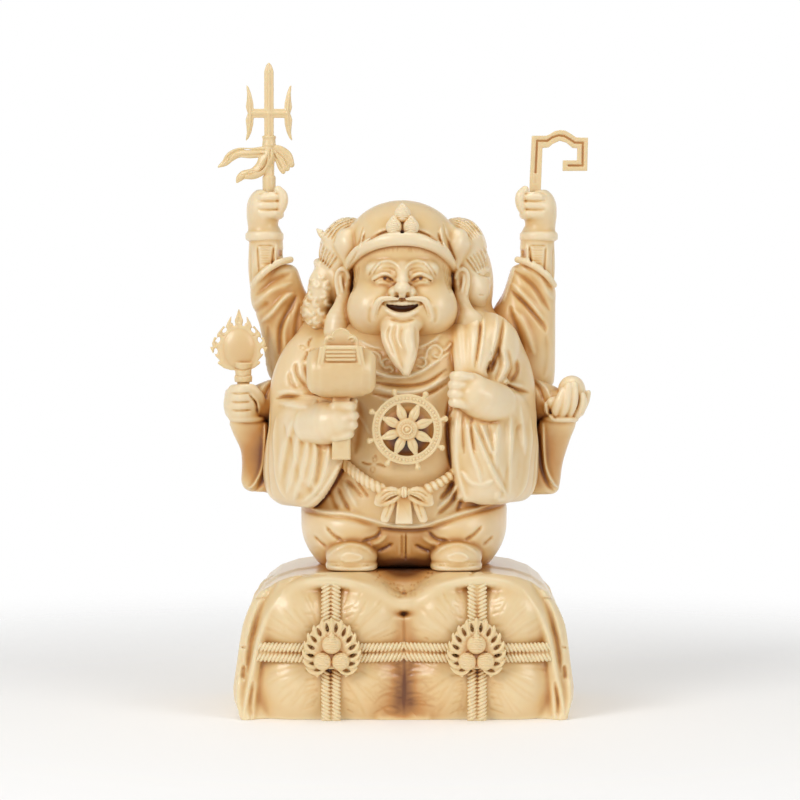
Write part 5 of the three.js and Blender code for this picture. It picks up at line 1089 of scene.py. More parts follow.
# %% Clay: mallet
def make_mallet():
    clay = Clay((-38.6, -54.8, 42.5), (-9.8, -30, 97), 0.35)
    clay.add(spindle([(-13.3, 6.6), (-11.4, 8.2), (-8, 9.6), (-4, 10.3), (0, 10.5), (4, 10.3), (8, 9.6),
                      (11.4, 8.2),
                      (13.3, 6.6)], (-24.2, -41.5, 78), 0, 1.6), 0.4)
    clay.add(slab([(-3.6, -34), (3.6, -34), (3.4, -9), (-3.4, -9)], 6.6, (-24.2, -41.5, 78), 1), 0.5)
    # Stepped frames and four bars on the upper face of the barrel
    for half, top, bottom, face_y in ((9.6, 88, 78.6, -50.5), (8, 88.3, 80.8, -51), (6.6, 88.5, 81.6, -50.4)):
        frame = slab([(-half * 0.84, 0), (half * 0.84, 0), (half, bottom - top), (-half, bottom - top)], 8,
                     (-24.2, face_y + 4 if half > 7 else face_y - 4, top), 0.4)
        (clay.add if half > 7 else clay.cut)(frame, 0.3)
    for bar in range(4):
        height = 87.2 - bar * 1.45
        clay.add(roll([(-29.4, -50.7, height, 0.55), (-19, -50.7, height, 0.55)]), 0.2)
    # Cloud-shaped finial: a thin rim round a shallow field with two curls
    cloud = [(-6.3, -0.8), (-6.7, 1.6), (-6.4, 3.4), (-5.2, 4.6), (-3.6, 4.9), (-2.8, 6.3), (-1.4, 7.1),
             (0, 7.4),
             (1.4, 7.1), (2.8, 6.3), (3.6, 4.9), (5.2, 4.6), (6.4, 3.4), (6.7, 1.6), (6.3, -0.8)]
    inner = [(u * 0.86, 0.5 + v * 0.84) for u, v in cloud]
    clay.add(slab(cloud, 4.6, (-24.2, -44.6, 87.6), 0.4), 0.4)
    clay.cut(slab(inner, 1.5, (-24.2, -47.4, 87.6), 0.2), 0.25)
    curls = []
    for s in (-1, 1):
        cx, cz = -24.2 + s * 4.1, 90.2
        curls.append(([(cx - s * 1.4 * math.cos(a) * (1 - a / 8), cz + 1.4 * math.sin(a) * (1 - a / 8))
                       for a in (0, 1, 2, 3, 4, 5)], 0.32, 0.7))
    draw(clay, curls, limits=(-56, -40))
    return clay


# %% [markdown]
# ## The wheel
# The wheel stands upright on the belly. It has a double rim with beads, eight leaf-shaped spokes and a
# knob outside each spoke. All of it is worked out by angle, and the knobs stand a little unevenly, as cast
# ones do.

# %% Clay: wheel
def make_wheel():
    """Wheel of the law: a beaded rim, eight petals for spokes, a boss and eight knobs."""
    cx, cy, cz = 1.2, -38.6, 55.6
    clay = Clay((cx - 17.4, cy - 3.4, cz - 17.4), (cx + 17.4, cy + 3, cz + 17.4), 0.3)
    ring = lambda radius, lift, thick: [(cx + radius * math.cos(a), cy + lift, cz + radius * math.sin(a),
                                         thick)
                                        for a in np.linspace(0, 2 * math.pi, 41)]
    circle = lambda radius: [(radius * math.cos(a), radius * math.sin(a))
                             for a in np.linspace(0, 2 * math.pi, 48, endpoint=False)]
    clay.add(slab(circle(13.4), 2, (cx, cy + 0.3, cz), 0.4, [circle(10.5)]), 0.3)
    for radius, thick in ((13.15, 0.62), (10.85, 0.55)):
        clay.add(roll(ring(radius, -0.6, thick)), 0.2)
    beads = 56
    for bead in range(beads):
        a = 2 * math.pi * bead / beads
        clay.add(egg((cx + 12 * math.cos(a), cy - 0.8, cz + 12 * math.sin(a)), (0.58, 0.62, 0.58)), 0.12)
    veins = []
    # The knobs of the hand-made model stand a little unevenly
    knobs = (15.5, 62, 109, 153.5, 197, 240, 286, 332)
    for spoke, knob in enumerate(np.radians(knobs).tolist()):
        a = math.radians(19.5 + 45 * spoke)
        at = lambda r, lift: (cx + r * math.cos(a), cy + lift, cz + r * math.sin(a))
        clay.add(roll([(*at(3.2, -0.1), 0.95), (*at(5.2, -0.4), 1.75), (*at(6.8, -0.5), 1.9),
                       (*at(8.6, -0.3), 1.3),
                       (*at(11, -0.2), 0.55)], 0.6, (0, 1, 0), 0.7), 0.25)
        far = lambda r: (cx + r * math.cos(knob), cy - 0.2, cz + r * math.sin(knob))
        clay.add(roll([(*far(13.6), 0.8), (*far(14.4), 0.75), (*far(15.2), 1.3)], spacing=0.5), 0.2)
        veins.append(([(cx + 5 * math.cos(a), cz + 5 * math.sin(a)),
                       (cx + 9.4 * math.cos(a), cz + 9.4 * math.sin(a))],
                      0.24, -0.4))
    clay.add(spindle([(-1.7, 3.7), (-1, 4.3), (1.6, 4.3)], (cx, cy, cz), 1, 0.5), 0.3)
    for radius, lift in ((3.5, -1.5), (1.7, -1.9)):
        clay.add(roll(ring(radius, lift, 0.4), spacing=0.6), 0.15)
    dots = 16
    for dot in range(dots):
        a = 2 * math.pi * dot / dots
        clay.add(egg((cx + 2.65 * math.cos(a), cy - 1.7, cz + 2.65 * math.sin(a)), (0.36, 0.45, 0.36)), 0.1)
    clay.add(egg((cx, cy - 1.7, cz), (1.1, 0.8, 1.1)), 0.2)
    draw(clay, veins)
    return clay


# %% [markdown]
# ## Jewels and crests
# Three small jewels sit on the cap's front. Each crest is three larger ones in a ring of flame. A jewel is a
# round lump with a few thin lines across it. The ring is a thin slab, and its tongues are strokes.

# %% Clay: jewels and crests
def jewel(middle, radius, tip=0.35):
    """A round jewel that is drawn up to a small blunt point."""
    x, y, z = middle
    return [egg(middle, (radius, radius * 0.9, radius * 1.04)),
            roll([(x, y, z + radius * 0.3, radius * 0.8), (x, y + 0.3, z + radius * 0.9, radius * 0.45),
                  (x, y + 0.6, z + radius * (1 + tip), radius * 0.14)], spacing=0.5)]


def jewel_lines(x, z, radius):
    """Fine lines across a jewel, like the rings of its turning."""
    lines = []
    for share in (-0.45, -0.2, 0.05, 0.3, 0.55, 0.8, 1.02):
        half = radius * math.sqrt(max(1 - share * share, 0.06)) * 0.8
        lines.append(([(x - half, z + radius * share - 0.15), (x, z + radius * share + 0.15),
                       (x + half, z + radius * share - 0.15)], 0.2, -0.42))
    return lines


def make_hat_jewels():
    clay = Clay((-7.9, -30.4, 129.2), (6.5, -18.8, 144.4), 0.22)
    lines = []
    for x, y, z, radius in ((-4, -25.4, 134.2, 3.15), (2.8, -25.4, 134.2, 3.15), (-0.6, -24, 139.2, 3.2)):
        for shape in jewel((x, y, z), radius, 0.3):
            clay.add(shape, 0.3)
        lines += jewel_lines(x, z, radius)
    draw(clay, lines)
    return clay


def make_crest(side):
    """Three jewels inside a wreath of flames that is pierced with drop-shaped slots."""
    cx, cz = side * 27.9, 27
    clay = Clay((cx - 13.6, -53, cz - 13), (cx + 13.6, -45.6, cz + 14.6), 0.26)
    lift = lambda a: 1 + 0.14 * max(math.sin(a), 0) ** 3
    at = lambda r, a: (cx + 0.94 * r * lift(a) * math.cos(a), cz + r * lift(a) * math.sin(a))
    sweep = 2.6
    angles = [math.pi / 2 + sweep * t for t in np.linspace(-1, 1, 48)]
    wreath = [at(11.1, a) for a in angles] + [at(5.4, a) for a in angles[::-1]]
    clay.add(slab([(x - cx, z - cz) for x, z in wreath], 2.4, (cx, -47.6, cz), 0.5), 0.4)
    tongues = 15
    for k in range(tongues):
        t = 2 * k / (tongues - 1) - 1
        a = math.pi / 2 + sweep * t
        # A flame: a ridge on the wreath that ends in a short tip leaning to the top
        ridge = [(*at(r, a + bend * t), thick) for r, bend, thick in
                 ((6.6, 0.12, 0.5), (8.4, 0.03, 0.6), (10, -0.13, 0.8), (11.2, -0.33, 0.7),
                  (11.9, -0.53, 0.3))]
        clay.add(roll([(x, -48.7, z, thick) for x, z, thick in ridge], spacing=0.5), 0.25)
        if k < tongues - 1:
            b = a + sweep / (tongues - 1)
            drop = [(*at(r, b + bend * t), thick) for r, bend,
                    thick in ((6.8, 0.1, 0.4), (8.4, 0.04, 0.9), (10.3, -0.09, 0.6))]
            for depth in (-49.4, -48, -46.4):
                clay.cut(roll([(x, depth, z, thick) for x, z, thick in drop], spacing=0.5), 0.15)
    clay.add(spindle([(-1.3, 6.2), (1, 6.2)], (cx, -47.6, cz), 1, 0.6), 0.4)
    clay.add(roll([(cx, -50, cz + 5.4, 1.9), (cx, -49.6, cz + 7.9, 0.5)]), 0.8)
    lines = []
    for x, z, radius in ((cx, cz + 3.3, 3.7), (cx - 3.5, cz - 3.1, 3.5), (cx + 3.5, cz - 3.1, 3.5)):
        clay.add(egg((x, -49, z), (radius, radius * 0.85, radius)), 0.2)
        lines += jewel_lines(x, z, radius)
    draw(clay, lines)
    return clay


# %% [markdown]
# ## What stands in the fists
# The trident, the key and the flaming jewel are thin castings that stand upright. Each is drawn from the
# front as rolls and slabs, with a ribbon, a twist or tongues of flame, and ends in the peg that the fist
# holds.

# %% Clay: trident
def make_trident():
    clay = Clay((-77, 5, 144.8), (-42.6, 15.4, 203), 0.27)
    x, y = -54.3, 10
    blade = [(-1.9, 170), (1.9, 170), (1.9, 197.4), (1.15, 199.8), (0, 200.9), (-1.15, 199.8), (-1.9, 197.4)]
    clay.add(slab(blade, 2.1, (x, y, 0), 0.4), 0.3)
    clay.add(slab([(-7.6, 178.8), (7.6, 178.8), (7.6, 182.4), (-7.6, 182.4)], 2, (x, y, 0), 0.4), 0.3)
    clay.add(roll([(x, y - 1, 171, 0.62), (x, y - 1, 197.6, 0.62), (x, y - 0.6, 199.6, 0.4)]), 0.5)
    clay.add(roll([(x - 7.6, y - 0.9, 180.6, 0.6), (x + 7.6, y - 0.9, 180.6, 0.6)]), 0.5)
    for s in (-1, 1):
        crescent = [(9.1, 192), (8.2, 191.2), (7.2, 188.6), (6.3, 184.8), (6.1, 180.6), (6.3, 176.4),
                    (7.1, 173),
                    (8.2, 170.6), (9.4, 169.4), (8.9, 172.6), (9.1, 175.4), (9.4, 178), (8.9, 179.6),
                    (8.5, 180.6),
                    (8.9, 181.6), (9.3, 183.2), (8.9, 186), (8.8, 189)]
        clay.add(slab([(s * u, v) for u, v in crescent], 1.9, (x, y, 0), 0.4), 0.25)
        clay.add(roll([(x + s * 8.7, y - 0.8, 190.4, 0.25), (x + s * 7.9, y - 1, 186, 0.5),
                       (x + s * 7.5, y - 1.1, 180.6, 0.55),
                       (x + s * 7.9, y - 1, 175, 0.5), (x + s * 9, y - 0.8, 170.6, 0.25)], spacing=0.8), 0.35)
    clay.add(spindle([(-5, 2.6), (7.4, 2.7), (8, 2.3)], (x, y, 147.6), rounding=0.3), 0.15)
    clay.add(spindle([(-2, 2.1), (12, 2.1)], (x, y, 156)), 0.3)
    clay.add(spindle([(0, 2.6), (0.6, 2.85), (3, 2.6), (4.2, 2.9), (4.6, 2.7)], (x, y, 167), rounding=0.4),
             0.3)
    # Ribbon: knot, two tails to the left, a fluted bow to the right
    clay.add(egg((x - 0.2, y - 0.6, 163.6), (2.9, 3, 4.4)), 0.6)
    tails = [[(x, y - 0.8, 166, 1.9), (-58, y - 1.2, 165, 2.1), (-62, y - 0.8, 164.6, 2.1),
              (-66.4, y, 164.8, 2),
              (-69.8, y, 163.2, 2), (-72, y, 160.8, 1.4), (-74.6, y, 159.2, 0.5)],
             [(x - 0.6, y - 1.2, 165, 2.5), (-55.6, y - 1.6, 162.2, 2.9), (-57.2, y - 1.4, 158.8, 2.8),
              (-60.5, y - 1, 156.4, 2.3),
              (-64.4, y - 0.4, 155.9, 1.8), (-66.2, y, 154.6, 1.4), (-67.2, y, 153, 0.5)]]
    for tail in tails:
        clay.add(roll(tail, 0.6, (0, 1, 0), 1), 0.5)
    for points in ([(-53.4, 166.6, 1.2), (-50, 166.4, 1.3), (-46.6, 163.8, 1.5), (-45.2, 160, 1.2)],
                   [(-53.4, 165.6, 1.2), (-50.2, 164.4, 1.4), (-47.6, 160.8, 1.4), (-47, 158.4, 1.1)],
                   [(-53.6, 165, 1.2), (-51, 162.6, 1.3), (-49.4, 159, 1.4), (-48.6, 157.2, 1)]):
        clay.add(roll([(px, y - 0.9, pz, r) for px, pz, r in points], 0.8, (0, 1, 0), 1), 0.25)
    lines = [([(-55.6, 166), (-60, 165.8), (-66, 165.8), (-70.4, 163.6), (-73, 160.6)], 0.35, -0.9),
             ([(-55.6, 164.4), (-61, 163.8), (-66.6, 163.6)], 0.3, -0.7),
             ([(-67.6, 165.8), (-70, 163), (-70.6, 161)], 0.3, -0.7),
             ([(-54.4, 164), (-56.2, 159), (-60, 156.6), (-65.4, 155.8)], 0.35, -0.9),
             ([(-55.8, 162.6), (-58, 158), (-62, 155.4)], 0.3, 0.7),
             ([(-60, 157.6), (-62.6, 156.6), (-65, 154)], 0.3, -0.6),
             ([(-53.6, 166.4), (-53.8, 162)], 0.3, -0.7),
             ([(-52.4, 164.6), (-50, 160.4), (-48.8, 158)], 0.25, -0.8),
             ([(-51.8, 165.6), (-48.4, 162.6), (-46.4, 158.6)], 0.25, -0.8)]
    draw(clay, lines)
    return clay


# %% Clay: key and flaming jewel
def make_key():
    """A flat bar bent like the key of a store house, with a line sunk along its middle."""
    clay = Clay((49.2, 7.2, 145), (75.4, 12.8, 176), 0.22)
    bar = [(50.4, 145.9), (50.6, 154), (51.4, 171.6), (57.2, 171.6), (58.6, 172.2), (60.5, 173.4),
           (62.9, 173.9),
           (64.9, 173.6), (67.2, 172.3), (69.2, 170.9), (74, 170.8), (73.7, 157.5), (63.8, 157.5),
           (63.9, 161.7),
           (69.6, 161.7), (69.7, 166.6), (67.8, 166.7), (65.4, 168.8), (62.7, 169.6), (60, 168.4),
           (58.2, 166.9),
           (55.7, 166.7), (54.9, 145.9)]
    clay.add(slab(bar, 3.3, (0, 10, 0), 0.3), 0.1)
    middle = [(52.8, 153), (52.9, 156.8), (53.5, 169.5), (57.6, 169.5), (59.6, 170.9), (62.2, 171.7),
              (64.5, 171.4),
              (66.7, 170.1), (68.6, 168.8), (71.9, 168.7), (71.8, 159.6), (66.2, 159.6)]
    for k, ((ax, az), (bx, bz)) in enumerate(zip(middle[:-1], middle[1:])):
        clay.cut(roll([(ax, 8.1, az, 1), (bx, 8.1, bz, 1)], 0.45, (0, 1, 0), 0.8), 0.15)
        if k:
            clay.cut(roll([(ax, 8.5, az, 0.5), (bx, 8.5, bz, 0.5)], spacing=0.8), 0.1)
    return clay


def make_flame_jewel():
    clay = Clay((-78, -7, 67), (-51.4, 3, 103.8), 0.3)
    cx, y, cz = -65.9, -2, 86.2
    half = [(3.2, -8.6), (6, -7.8), (9, -5.6), (7.6, -4.8), (10.6, -1.6), (11.6, 0.8), (10.4, 0.6), (10.8, 2),
            (9.8, 4.8),
            (8.8, 4.2), (8.6, 6), (6, 9.2), (5.4, 8.2), (4.6, 10.4), (3, 13.2), (3.2, 10.4), (2.2, 10),
            (1.2, 12.4)]
    shape = [(u, v) for u, v in half] + [(0, 16.2)] + [(-u, v) for u, v in half[::-1]]
    holes = []
    for s in (-1, 1):
        for hx, hz, lean in ((5.7, 7.3, 0.7), (8.2, 3.5, 0.3), (9.2, -1, -0.1)):
            holes.append([(s * (hx + 0.75 * math.cos(a) * math.cos(lean)
                                - 1.25 * math.sin(a) * math.sin(lean)),
                           hz + 0.75 * math.cos(a) * math.sin(lean) + 1.25 * math.sin(a) * math.cos(lean))
                          for a in np.linspace(0, 2 * math.pi, 10, endpoint=False)])
        holes.append([(s * 1.3, 9), (s * 2.3, 9.2), (s * 2.5, 10.6), (s * 1.7, 11.4)])
    clay.add(slab(shape, 2.6, (cx, y, cz), 0.5, holes), 0.3)
    clay.add(egg((cx, y, cz), (6.9, 2.9, 8.8)), 0.3)
    clay.add(roll([(cx + 6.6 * math.cos(a), y - 0.9, cz + 8.5 * math.sin(a), 0.45)
                   for a in np.linspace(0, 2 * math.pi, 33)]),
             0.3)
    clay.add(spindle([(-5.2, 2.5), (0, 2.5), (0.2, 3.5), (2, 3.6), (3.4, 3.2), (5, 3.3), (7.8, 3.9)],
                     (-64.2, y, 72.8),
                     rounding=0.4), 0.4)
    lines = [([(-67.6, 78.6), (-64.2, 77.6), (-60.8, 78.6)], 0.3, -0.6),
             ([(-67.6, 75.8), (-64.2, 75), (-60.8, 75.8)], 0.3, -0.5)]
    for s in (-1, 1):
        lines += [([(cx + s * 8, cz - 7), (cx + s * 9.4, cz - 4.2), (cx + s * 10.2, cz - 1)], 0.25, -0.5),
                  ([(cx + s * 8.4, cz + 1.4), (cx + s * 9.4, cz + 2.4), (cx + s * 9.2, cz + 4)], 0.25, -0.5),
                  ([(cx + s * 5.4, cz + 5), (cx + s * 7.2, cz + 5.6), (cx + s * 7.4, cz + 7)], 0.25, -0.5)]
    lines.append(([(cx, cz + 10), (cx, cz + 14.6)], 0.3, -0.5))
    draw(clay, lines)
    return clay


# %% [markdown]
# ## Base: two rice bales under a cloth
# Two straw bales stand side by side with their ends to the front. A cloth lies over both and turns back in a
# rolled hem. Each end is bound crosswise with pairs of twisted rope, so the straw puffs out in four cushions
# with creases that run from the crossing. A crest of three jewels in flames sits on each crossing.

# %% Clay: cloth over the bales
BALE_MIDDLES = (-28.3, 28.3)
ROPE_LEVEL = 26.7
# The rolled edge of the cloth, as (x, z, half width) from the left foot over both bales to the right foot
HEM = [(-60.2, -2, 1.2), (-59.6, 6, 1.2), (-58.6, 13, 1.3), (-57.5, 21.2, 1.5), (-55.4, 30.5, 1.6),
       (-52.4, 38.6, 1.3),
       (-48.6, 44.4, 1.2), (-44, 49.2, 1.2), (-38.4, 52.4, 1.4), (-31.5, 53.6, 1.8), (-23.2, 53.2, 1.6),
       (-15.6, 51.2, 1.6), (-9.6, 48.2, 1.6), (-5, 45.8, 1.9), (0, 45, 2.2), (5.4, 46, 1.9), (10, 48.6, 1.6),
       (15, 51.2, 1.6), (21, 53.2, 1.5), (27.4, 53.9, 1.7), (34, 53.5, 1.5), (40.6, 52.2, 1.4), (46, 49, 1.3),
       (50.4, 44.4, 1.2), (53.8, 37.6, 1.4), (56.4, 28.6, 1.5), (58, 16, 1.4), (59, 6, 1.2), (59.6, -2, 1.2)]


def on_floor(clay):
    """Cuts off what hangs below the floor."""
    clay.cut(slab([(-80, -8), (80, -8), (80, 0), (-80, 0)], 120, (0, 0, 0), 0.05), 0.1)
    return clay


def cloth(clay):
    side = [(61.8, -3), (62.6, 1), (64.8, 7), (65, 12), (63, 22), (60.4, 35), (58, 44.6), (54.6, 49.6),
            (50, 53), (43, 55.4),
            (34, 56.7), (22, 57.2)]
    outline = side + [(-x, z) for x, z in side[::-1]]
    clay.add(slab(outline, 80, (0, 2, 0), 3), 0.5)
    clay.add(slab([(x * 1.012, z) for x, z in outline], 60, (0, 14, 0), 8), 3)
    # The cloth dips between the bales in front, and slopes at the shoulders
    clay.cut(egg((0, -47, 61), (16, 19, 15)), 5)
    for s in (-1, 1):
        clay.cut(egg((s * 62, -46, 66), (18, 24, 14)), 6)
    opening = [(x * 0.99, z - (0 if z < 30 else 0.8)) for x, z, _ in HEM]
    clay.cut(slab(opening, 14, (0, -41, 0), 0.6), 0.6)
    clay.add(roll([(x, -40.4 + 1.2 * abs(x) / 60, z, half + 0.3) for x, z, half in HEM], spacing=2), 1)
    clay.add(roll([(x * 1.015, -37.4, z + 0.6, half + 0.9) for x, z, half in HEM], spacing=2), 2)
    # The corners of the cloth spread a little on the floor
    for s in (-1, 1):
        clay.add(roll(on_side(s, [(55.4, -33, 48, 1.2), (60, -34.6, 36, 1.4), (62, -35.6, 22, 1.4),
                                  (63, -37.6, 9, 1.8), (60.6, -39.6, -2, 2)])), 3)


def cloth_folds(clay):
    """Loose folds on the sides and the back, and the marks of the cloth in front."""
    front = []
    for s in (-1, 1):
        front += [(on_side(s, points), width, rise) for points, width, rise in (
            ([(49.4, 53), (55.4, 43), (59.2, 31), (61, 18.6)], 1.2, -1.5),
            ([(46.4, 50.8), (52.8, 41), (56.6, 30), (58.8, 19), (60.6, 11), (62.4, 1)], 1.1, 1.2),
            ([(52.6, 53), (58.4, 42), (61.6, 30)], 1, 0.9),
            ([(58.6, 15), (59.6, 7), (59.4, 0)], 0.9, -1.1),
            ([(57.8, 46.8), (52.4, 47.6)], 0.4, -1.1),
            ([(64, 27.6), (60.8, 28.2)], 0.4, -1.1),
            ([(62.2, 21), (62.8, 16)], 0.9, -1.6),
            ([(64, 17), (64.8, 9), (63.8, 1)], 1.1, 0.9))]
    front += [([(24.4, 57), (27.4, 57.4), (34, 56.8)], 0.35, -0.8),
              ([(-46, 52.6), (-40, 55.4), (-30, 56.4)], 0.5, -0.6)]
    for x, z, lean in ((-0.8, 48.6, 0.5), (1, 48.4, 2.4), (25.4, 56.2, 0.4), (27.4, 56.4, 2.4)):
        front.append(([(x, z), (x + 1.6 * math.cos(lean), z + 1.2 * math.sin(lean))], 0.4, -0.7))
    chance = np.random.default_rng(5)
    for _ in range(90):
        x = chance.uniform(-11, 11)
        z = 47.6 + 0.05 * x * x + chance.uniform(0, 4)
        front.append(([(x - 0.3, z), (x + 0.3, z + chance.uniform(-0.2, 0.2))], 0.3, -0.4))
    draw(clay, front, limits=(-48, -20))
    for side in ("left", "right"):
        folds = []
        for k in range(9):
            y = -33 + 9.2 * k + chance.uniform(-2, 2)
            lean, top, width = chance.uniform(-5, 7), chance.uniform(26, 52), chance.uniform(1.4, 3)
            folds.append(([(y, -1), (y + lean * 0.3, top * 0.4), (y + lean * 0.8, top * 0.75),
                           (y + lean, top)], width,
                          chance.uniform(0.8, 1.5)))
            y += 4.6
            folds.append(([(y, -1), (y + lean * 0.4, top * 0.45), (y + lean, top * 0.85)], width * 0.8,
                          -chance.uniform(0.9, 1.6)))
        draw(clay, folds, side=side, limits=(-70, -30) if side == "left" else (30, 70))
    back = []
    for k in range(12):
        x = -54 + 9.8 * k + chance.uniform(-2.4, 2.4)
        lean, top = chance.uniform(-7, 7), chance.uniform(24, 52)
        back.append(([(x, -1), (x + lean * 0.4, top * 0.5), (x + lean, top)], chance.uniform(1.4, 3),
                     chance.uniform(0.8, 1.5) * (-1) ** k))
    draw(clay, back, side="back", limits=(20, 60))


# %% Clay: bales and ropes
def rope_depth(along):
    """How far forward the ropes lie: full in the middle of a bale, sinking towards its edge."""
    return -45.2 + 3.8 * (abs(along) / 27) ** 3


def bales(clay):
    # Straw fills the gap between the two ends, a little behind their faces
    clay.add(slab([(-10, -3), (10, -3), (10, 40), (-10, 40)], 20, (0, -31, 0), 1), 1)
    clay.add(slab([(-58, -3), (58, -3), (50, 40), (-50, 40)], 20, (0, -26.6, 0), 1), 1)
    for s in (-1, 1):
        clay.add(roll([(s * 55.4, -33.6, 30, 3), (s * 56.4, -34.6, 14, 3.4), (s * 56.4, -34.8, -2, 3.6)]),
                 2.4)
    for middle in BALE_MIDDLES:
        turn = np.linspace(0.02, 2 * math.pi + 0.02, 44, endpoint=False)
        body = [(middle + 28.8 * math.cos(a) * abs(math.cos(a)) ** -0.3,
                 22 + 30 * math.sin(a) * abs(math.sin(a)) ** -0.3)
                for a in turn]
        clay.add(slab(body, 27, (0, -25.6, 0), 6), 2.4)
        clay.add(egg((middle, -30, 24), (29.4, 14.6, 31)), 3)
        for u in (-1, 1):
            for v in (-1, 1):
                clay.add(egg((middle + u * 13.6, -34.4, ROPE_LEVEL + v * 12.8), (14.4, 11.4, 14.6)), 3)
    # Straw creases, fine and short, densest towards the edges and at the ropes
    chance = np.random.default_rng(7)
    lines = [([(-0.2, 42), (0.2, 26), (-0.1, 2)], 0.6, -0.3)]
    for middle in BALE_MIDDLES:
        for _ in range(190):
            a = chance.uniform(0, 2 * math.pi)
            start, stop = chance.uniform(10, 21), chance.uniform(21, 29)
            bend = chance.uniform(-0.03, 0.03)
            points = [(middle + 1.02 * r * math.cos(a + b), 25.6 + 0.98 * r * math.sin(a + b))
                      for r, b in ((start, 0), ((start + stop) / 2, bend), (stop, bend * 0.4))]
            if all(abs(x - middle) > 4.6 and abs(z - ROPE_LEVEL) > 4.8 and z > 1 for x, z in points):
                lines.append((points, chance.uniform(0.3, 0.8), -chance.uniform(0.06, 0.26)))
        for u in (-1, 1):
            for _ in range(26):
                x, z = middle + u * chance.uniform(4.6, 6), chance.uniform(4, 46)
                if abs(z - ROPE_LEVEL) > 6:
                    lines.append(([(x, z),
                                   (x + u * chance.uniform(2, 6),
                                    z + (z - ROPE_LEVEL) * chance.uniform(0.03, 0.14))],
                                  0.45, -0.3))
        inwards = -1 if middle > 0 else 1
        for _ in range(16):
            z = chance.uniform(2, 24)
            lines.append(([(middle + inwards * 27.6, z),
                           (middle + inwards * chance.uniform(20, 24), z + chance.uniform(-2, 2)),
                           (middle + inwards * chance.uniform(14, 19), z + chance.uniform(-3, 3))], 0.5,
                          -0.2))
    draw(clay, lines, limits=(-50, -32), depth=2)


def make_ropes():
    """Two strands side by side, each built from short slanting turns, upright and level on each bale."""
    clay = Clay((-58, -49.2, -1), (58, -36, 54), 0.36)
    lay = 1.5
    for middle in BALE_MIDDLES:
        slant = 30 if middle < 0 else -30
        upright = [(middle, rope_depth(z - 24) + 0.9, z, 3.3) for z in (53, 46, 38, 30, 22, 14, 6, -2)]
        level = [(middle + x, rope_depth(x) + 0.9, ROPE_LEVEL, 3.2) for x in range(-27, 28, 6)]
        clay.add(roll(upright, 0.3, (0, 1, 0)), 0.4)
        clay.add(roll(level, 0.3, (0, 1, 0)), 0.4)
        for k in range(38):
            z = 52.2 - lay * k
            for strand in (-1, 1):
                lean = slant * (strand if z > 20 else 1)
                clay.add(egg((middle + strand * 1.95, rope_depth(z - 24), z), (2.25, 1.75, 0.74),
                             (0, lean, 0)), 0.12)
            x = -27.8 + lay * k
            if abs(x) > 5:
                for strand in (-1, 1):
                    clay.add(egg((middle + x, rope_depth(x), ROPE_LEVEL + strand * 1.95), (0.74, 1.75, 2.25),
                                 (0, slant, 0)), 0.12)
    return on_floor(clay)


def make_base():
    clay = Clay((-68, -49, -1.2), (68, 48, 58.8), 0.5)
    cloth(clay)
    cloth_folds(clay)
    bales(clay)
    return on_floor(clay)

# %% [markdown]
# ## From clay to mesh
# The surface of the clay lies where the distance is 0. One point goes into every grid cell that the surface
# crosses, at the mean of its crossings, and the points of neighbouring cells make four-sided faces. This is
# called surface nets. It gives even faces, which the Decimate modifier then thins where the form is calm.

# %% Mesh: surface nets
CORNERS = [(i, j, k) for i in (0, 1) for j in (0, 1) for k in (0, 1)]


def skin(clay):
    """Points in mm and four-sided faces of the clay's surface."""
    field = clay.field
    # Where a form meets the end of the block, it is closed there
    for axis in range(3):
        ends = [slice(None)] * 3
        for end in (0, -1):
            ends[axis] = end
            field[tuple(ends)] = np.maximum(field[tuple(ends)], 0.2 * clay.grain)
    inside = field < 0
    counts = np.array(field.shape)
    full = np.zeros(counts - 1, np.uint8)
    for corner in CORNERS:
        full += inside[tuple(slice(c, n - 1 + c) for c, n in zip(corner, counts))]
    cells = np.argwhere((full > 0) & (full < 8))
    number = np.full(full.shape, -1, np.int32)
    number[tuple(cells.T)] = np.arange(len(cells))
    values = [field[tuple((cells + corner).T)] for corner in CORNERS]
    total, crossings = np.zeros((len(cells), 3)), np.zeros(len(cells))
    for a, one in enumerate(CORNERS):
        for b, other in enumerate(CORNERS):
            if a < b and sum(abs(p - q) for p, q in zip(one, other)) == 1:
                change = np.nonzero((values[a] < 0) != (values[b] < 0))[0]
                share = (values[a][change] / (values[a][change] - values[b][change]))[:, None]
                total[change] += np.array(one) + share * (np.array(other) - np.array(one))
                crossings[change] += 1
    points = clay.low + clay.grain * (cells + total / crossings[:, None])
    faces = []
    for axis in range(3):
        second, third = (axis + 1) % 3, (axis + 2) % 3
        here, there = [slice(1, -1)] * 3, [slice(1, -1)] * 3
        here[axis], there[axis] = slice(0, -1), slice(1, None)
        outwards = inside[tuple(here)] & ~inside[tuple(there)]
        inwards = inside[tuple(there)] & ~inside[tuple(here)]
        for edges, order in ((outwards, (0, 1, 2, 3)), (inwards, (0, 3, 2, 1))):
            place = np.argwhere(edges)
            place[:, [second, third]] += 1
            ring = []
            for step in ((1, 1), (0, 1), (0, 0), (1, 0)):
                cell = place.copy()
                cell[:, second] -= step[0]
                cell[:, third] -= step[1]
                ring.append(number[tuple(cell.T)])
            faces.append(np.stack([ring[k] for k in order], 1))
    return points, np.vstack(faces)


# %% Mesh: averages
def blurred(grid, reach):
    """A soft average over a few grid steps each way: two box blurs along each axis."""
    width = 2 * reach + 1
    for axis in (0, 1, 2, 0, 1, 2):
        padding = [(0, 0)] * 3
        padding[axis] = (reach + 1, reach)
        sums = np.cumsum(np.pad(grid, padding, mode="edge"), axis=axis, dtype=np.float32)
        upper, lower = [slice(None)] * 3, [slice(None)] * 3
        upper[axis], lower[axis] = slice(width, None), slice(0, -width)
        grid = (sums[tuple(upper)] - sums[tuple(lower)]) / width
    return grid


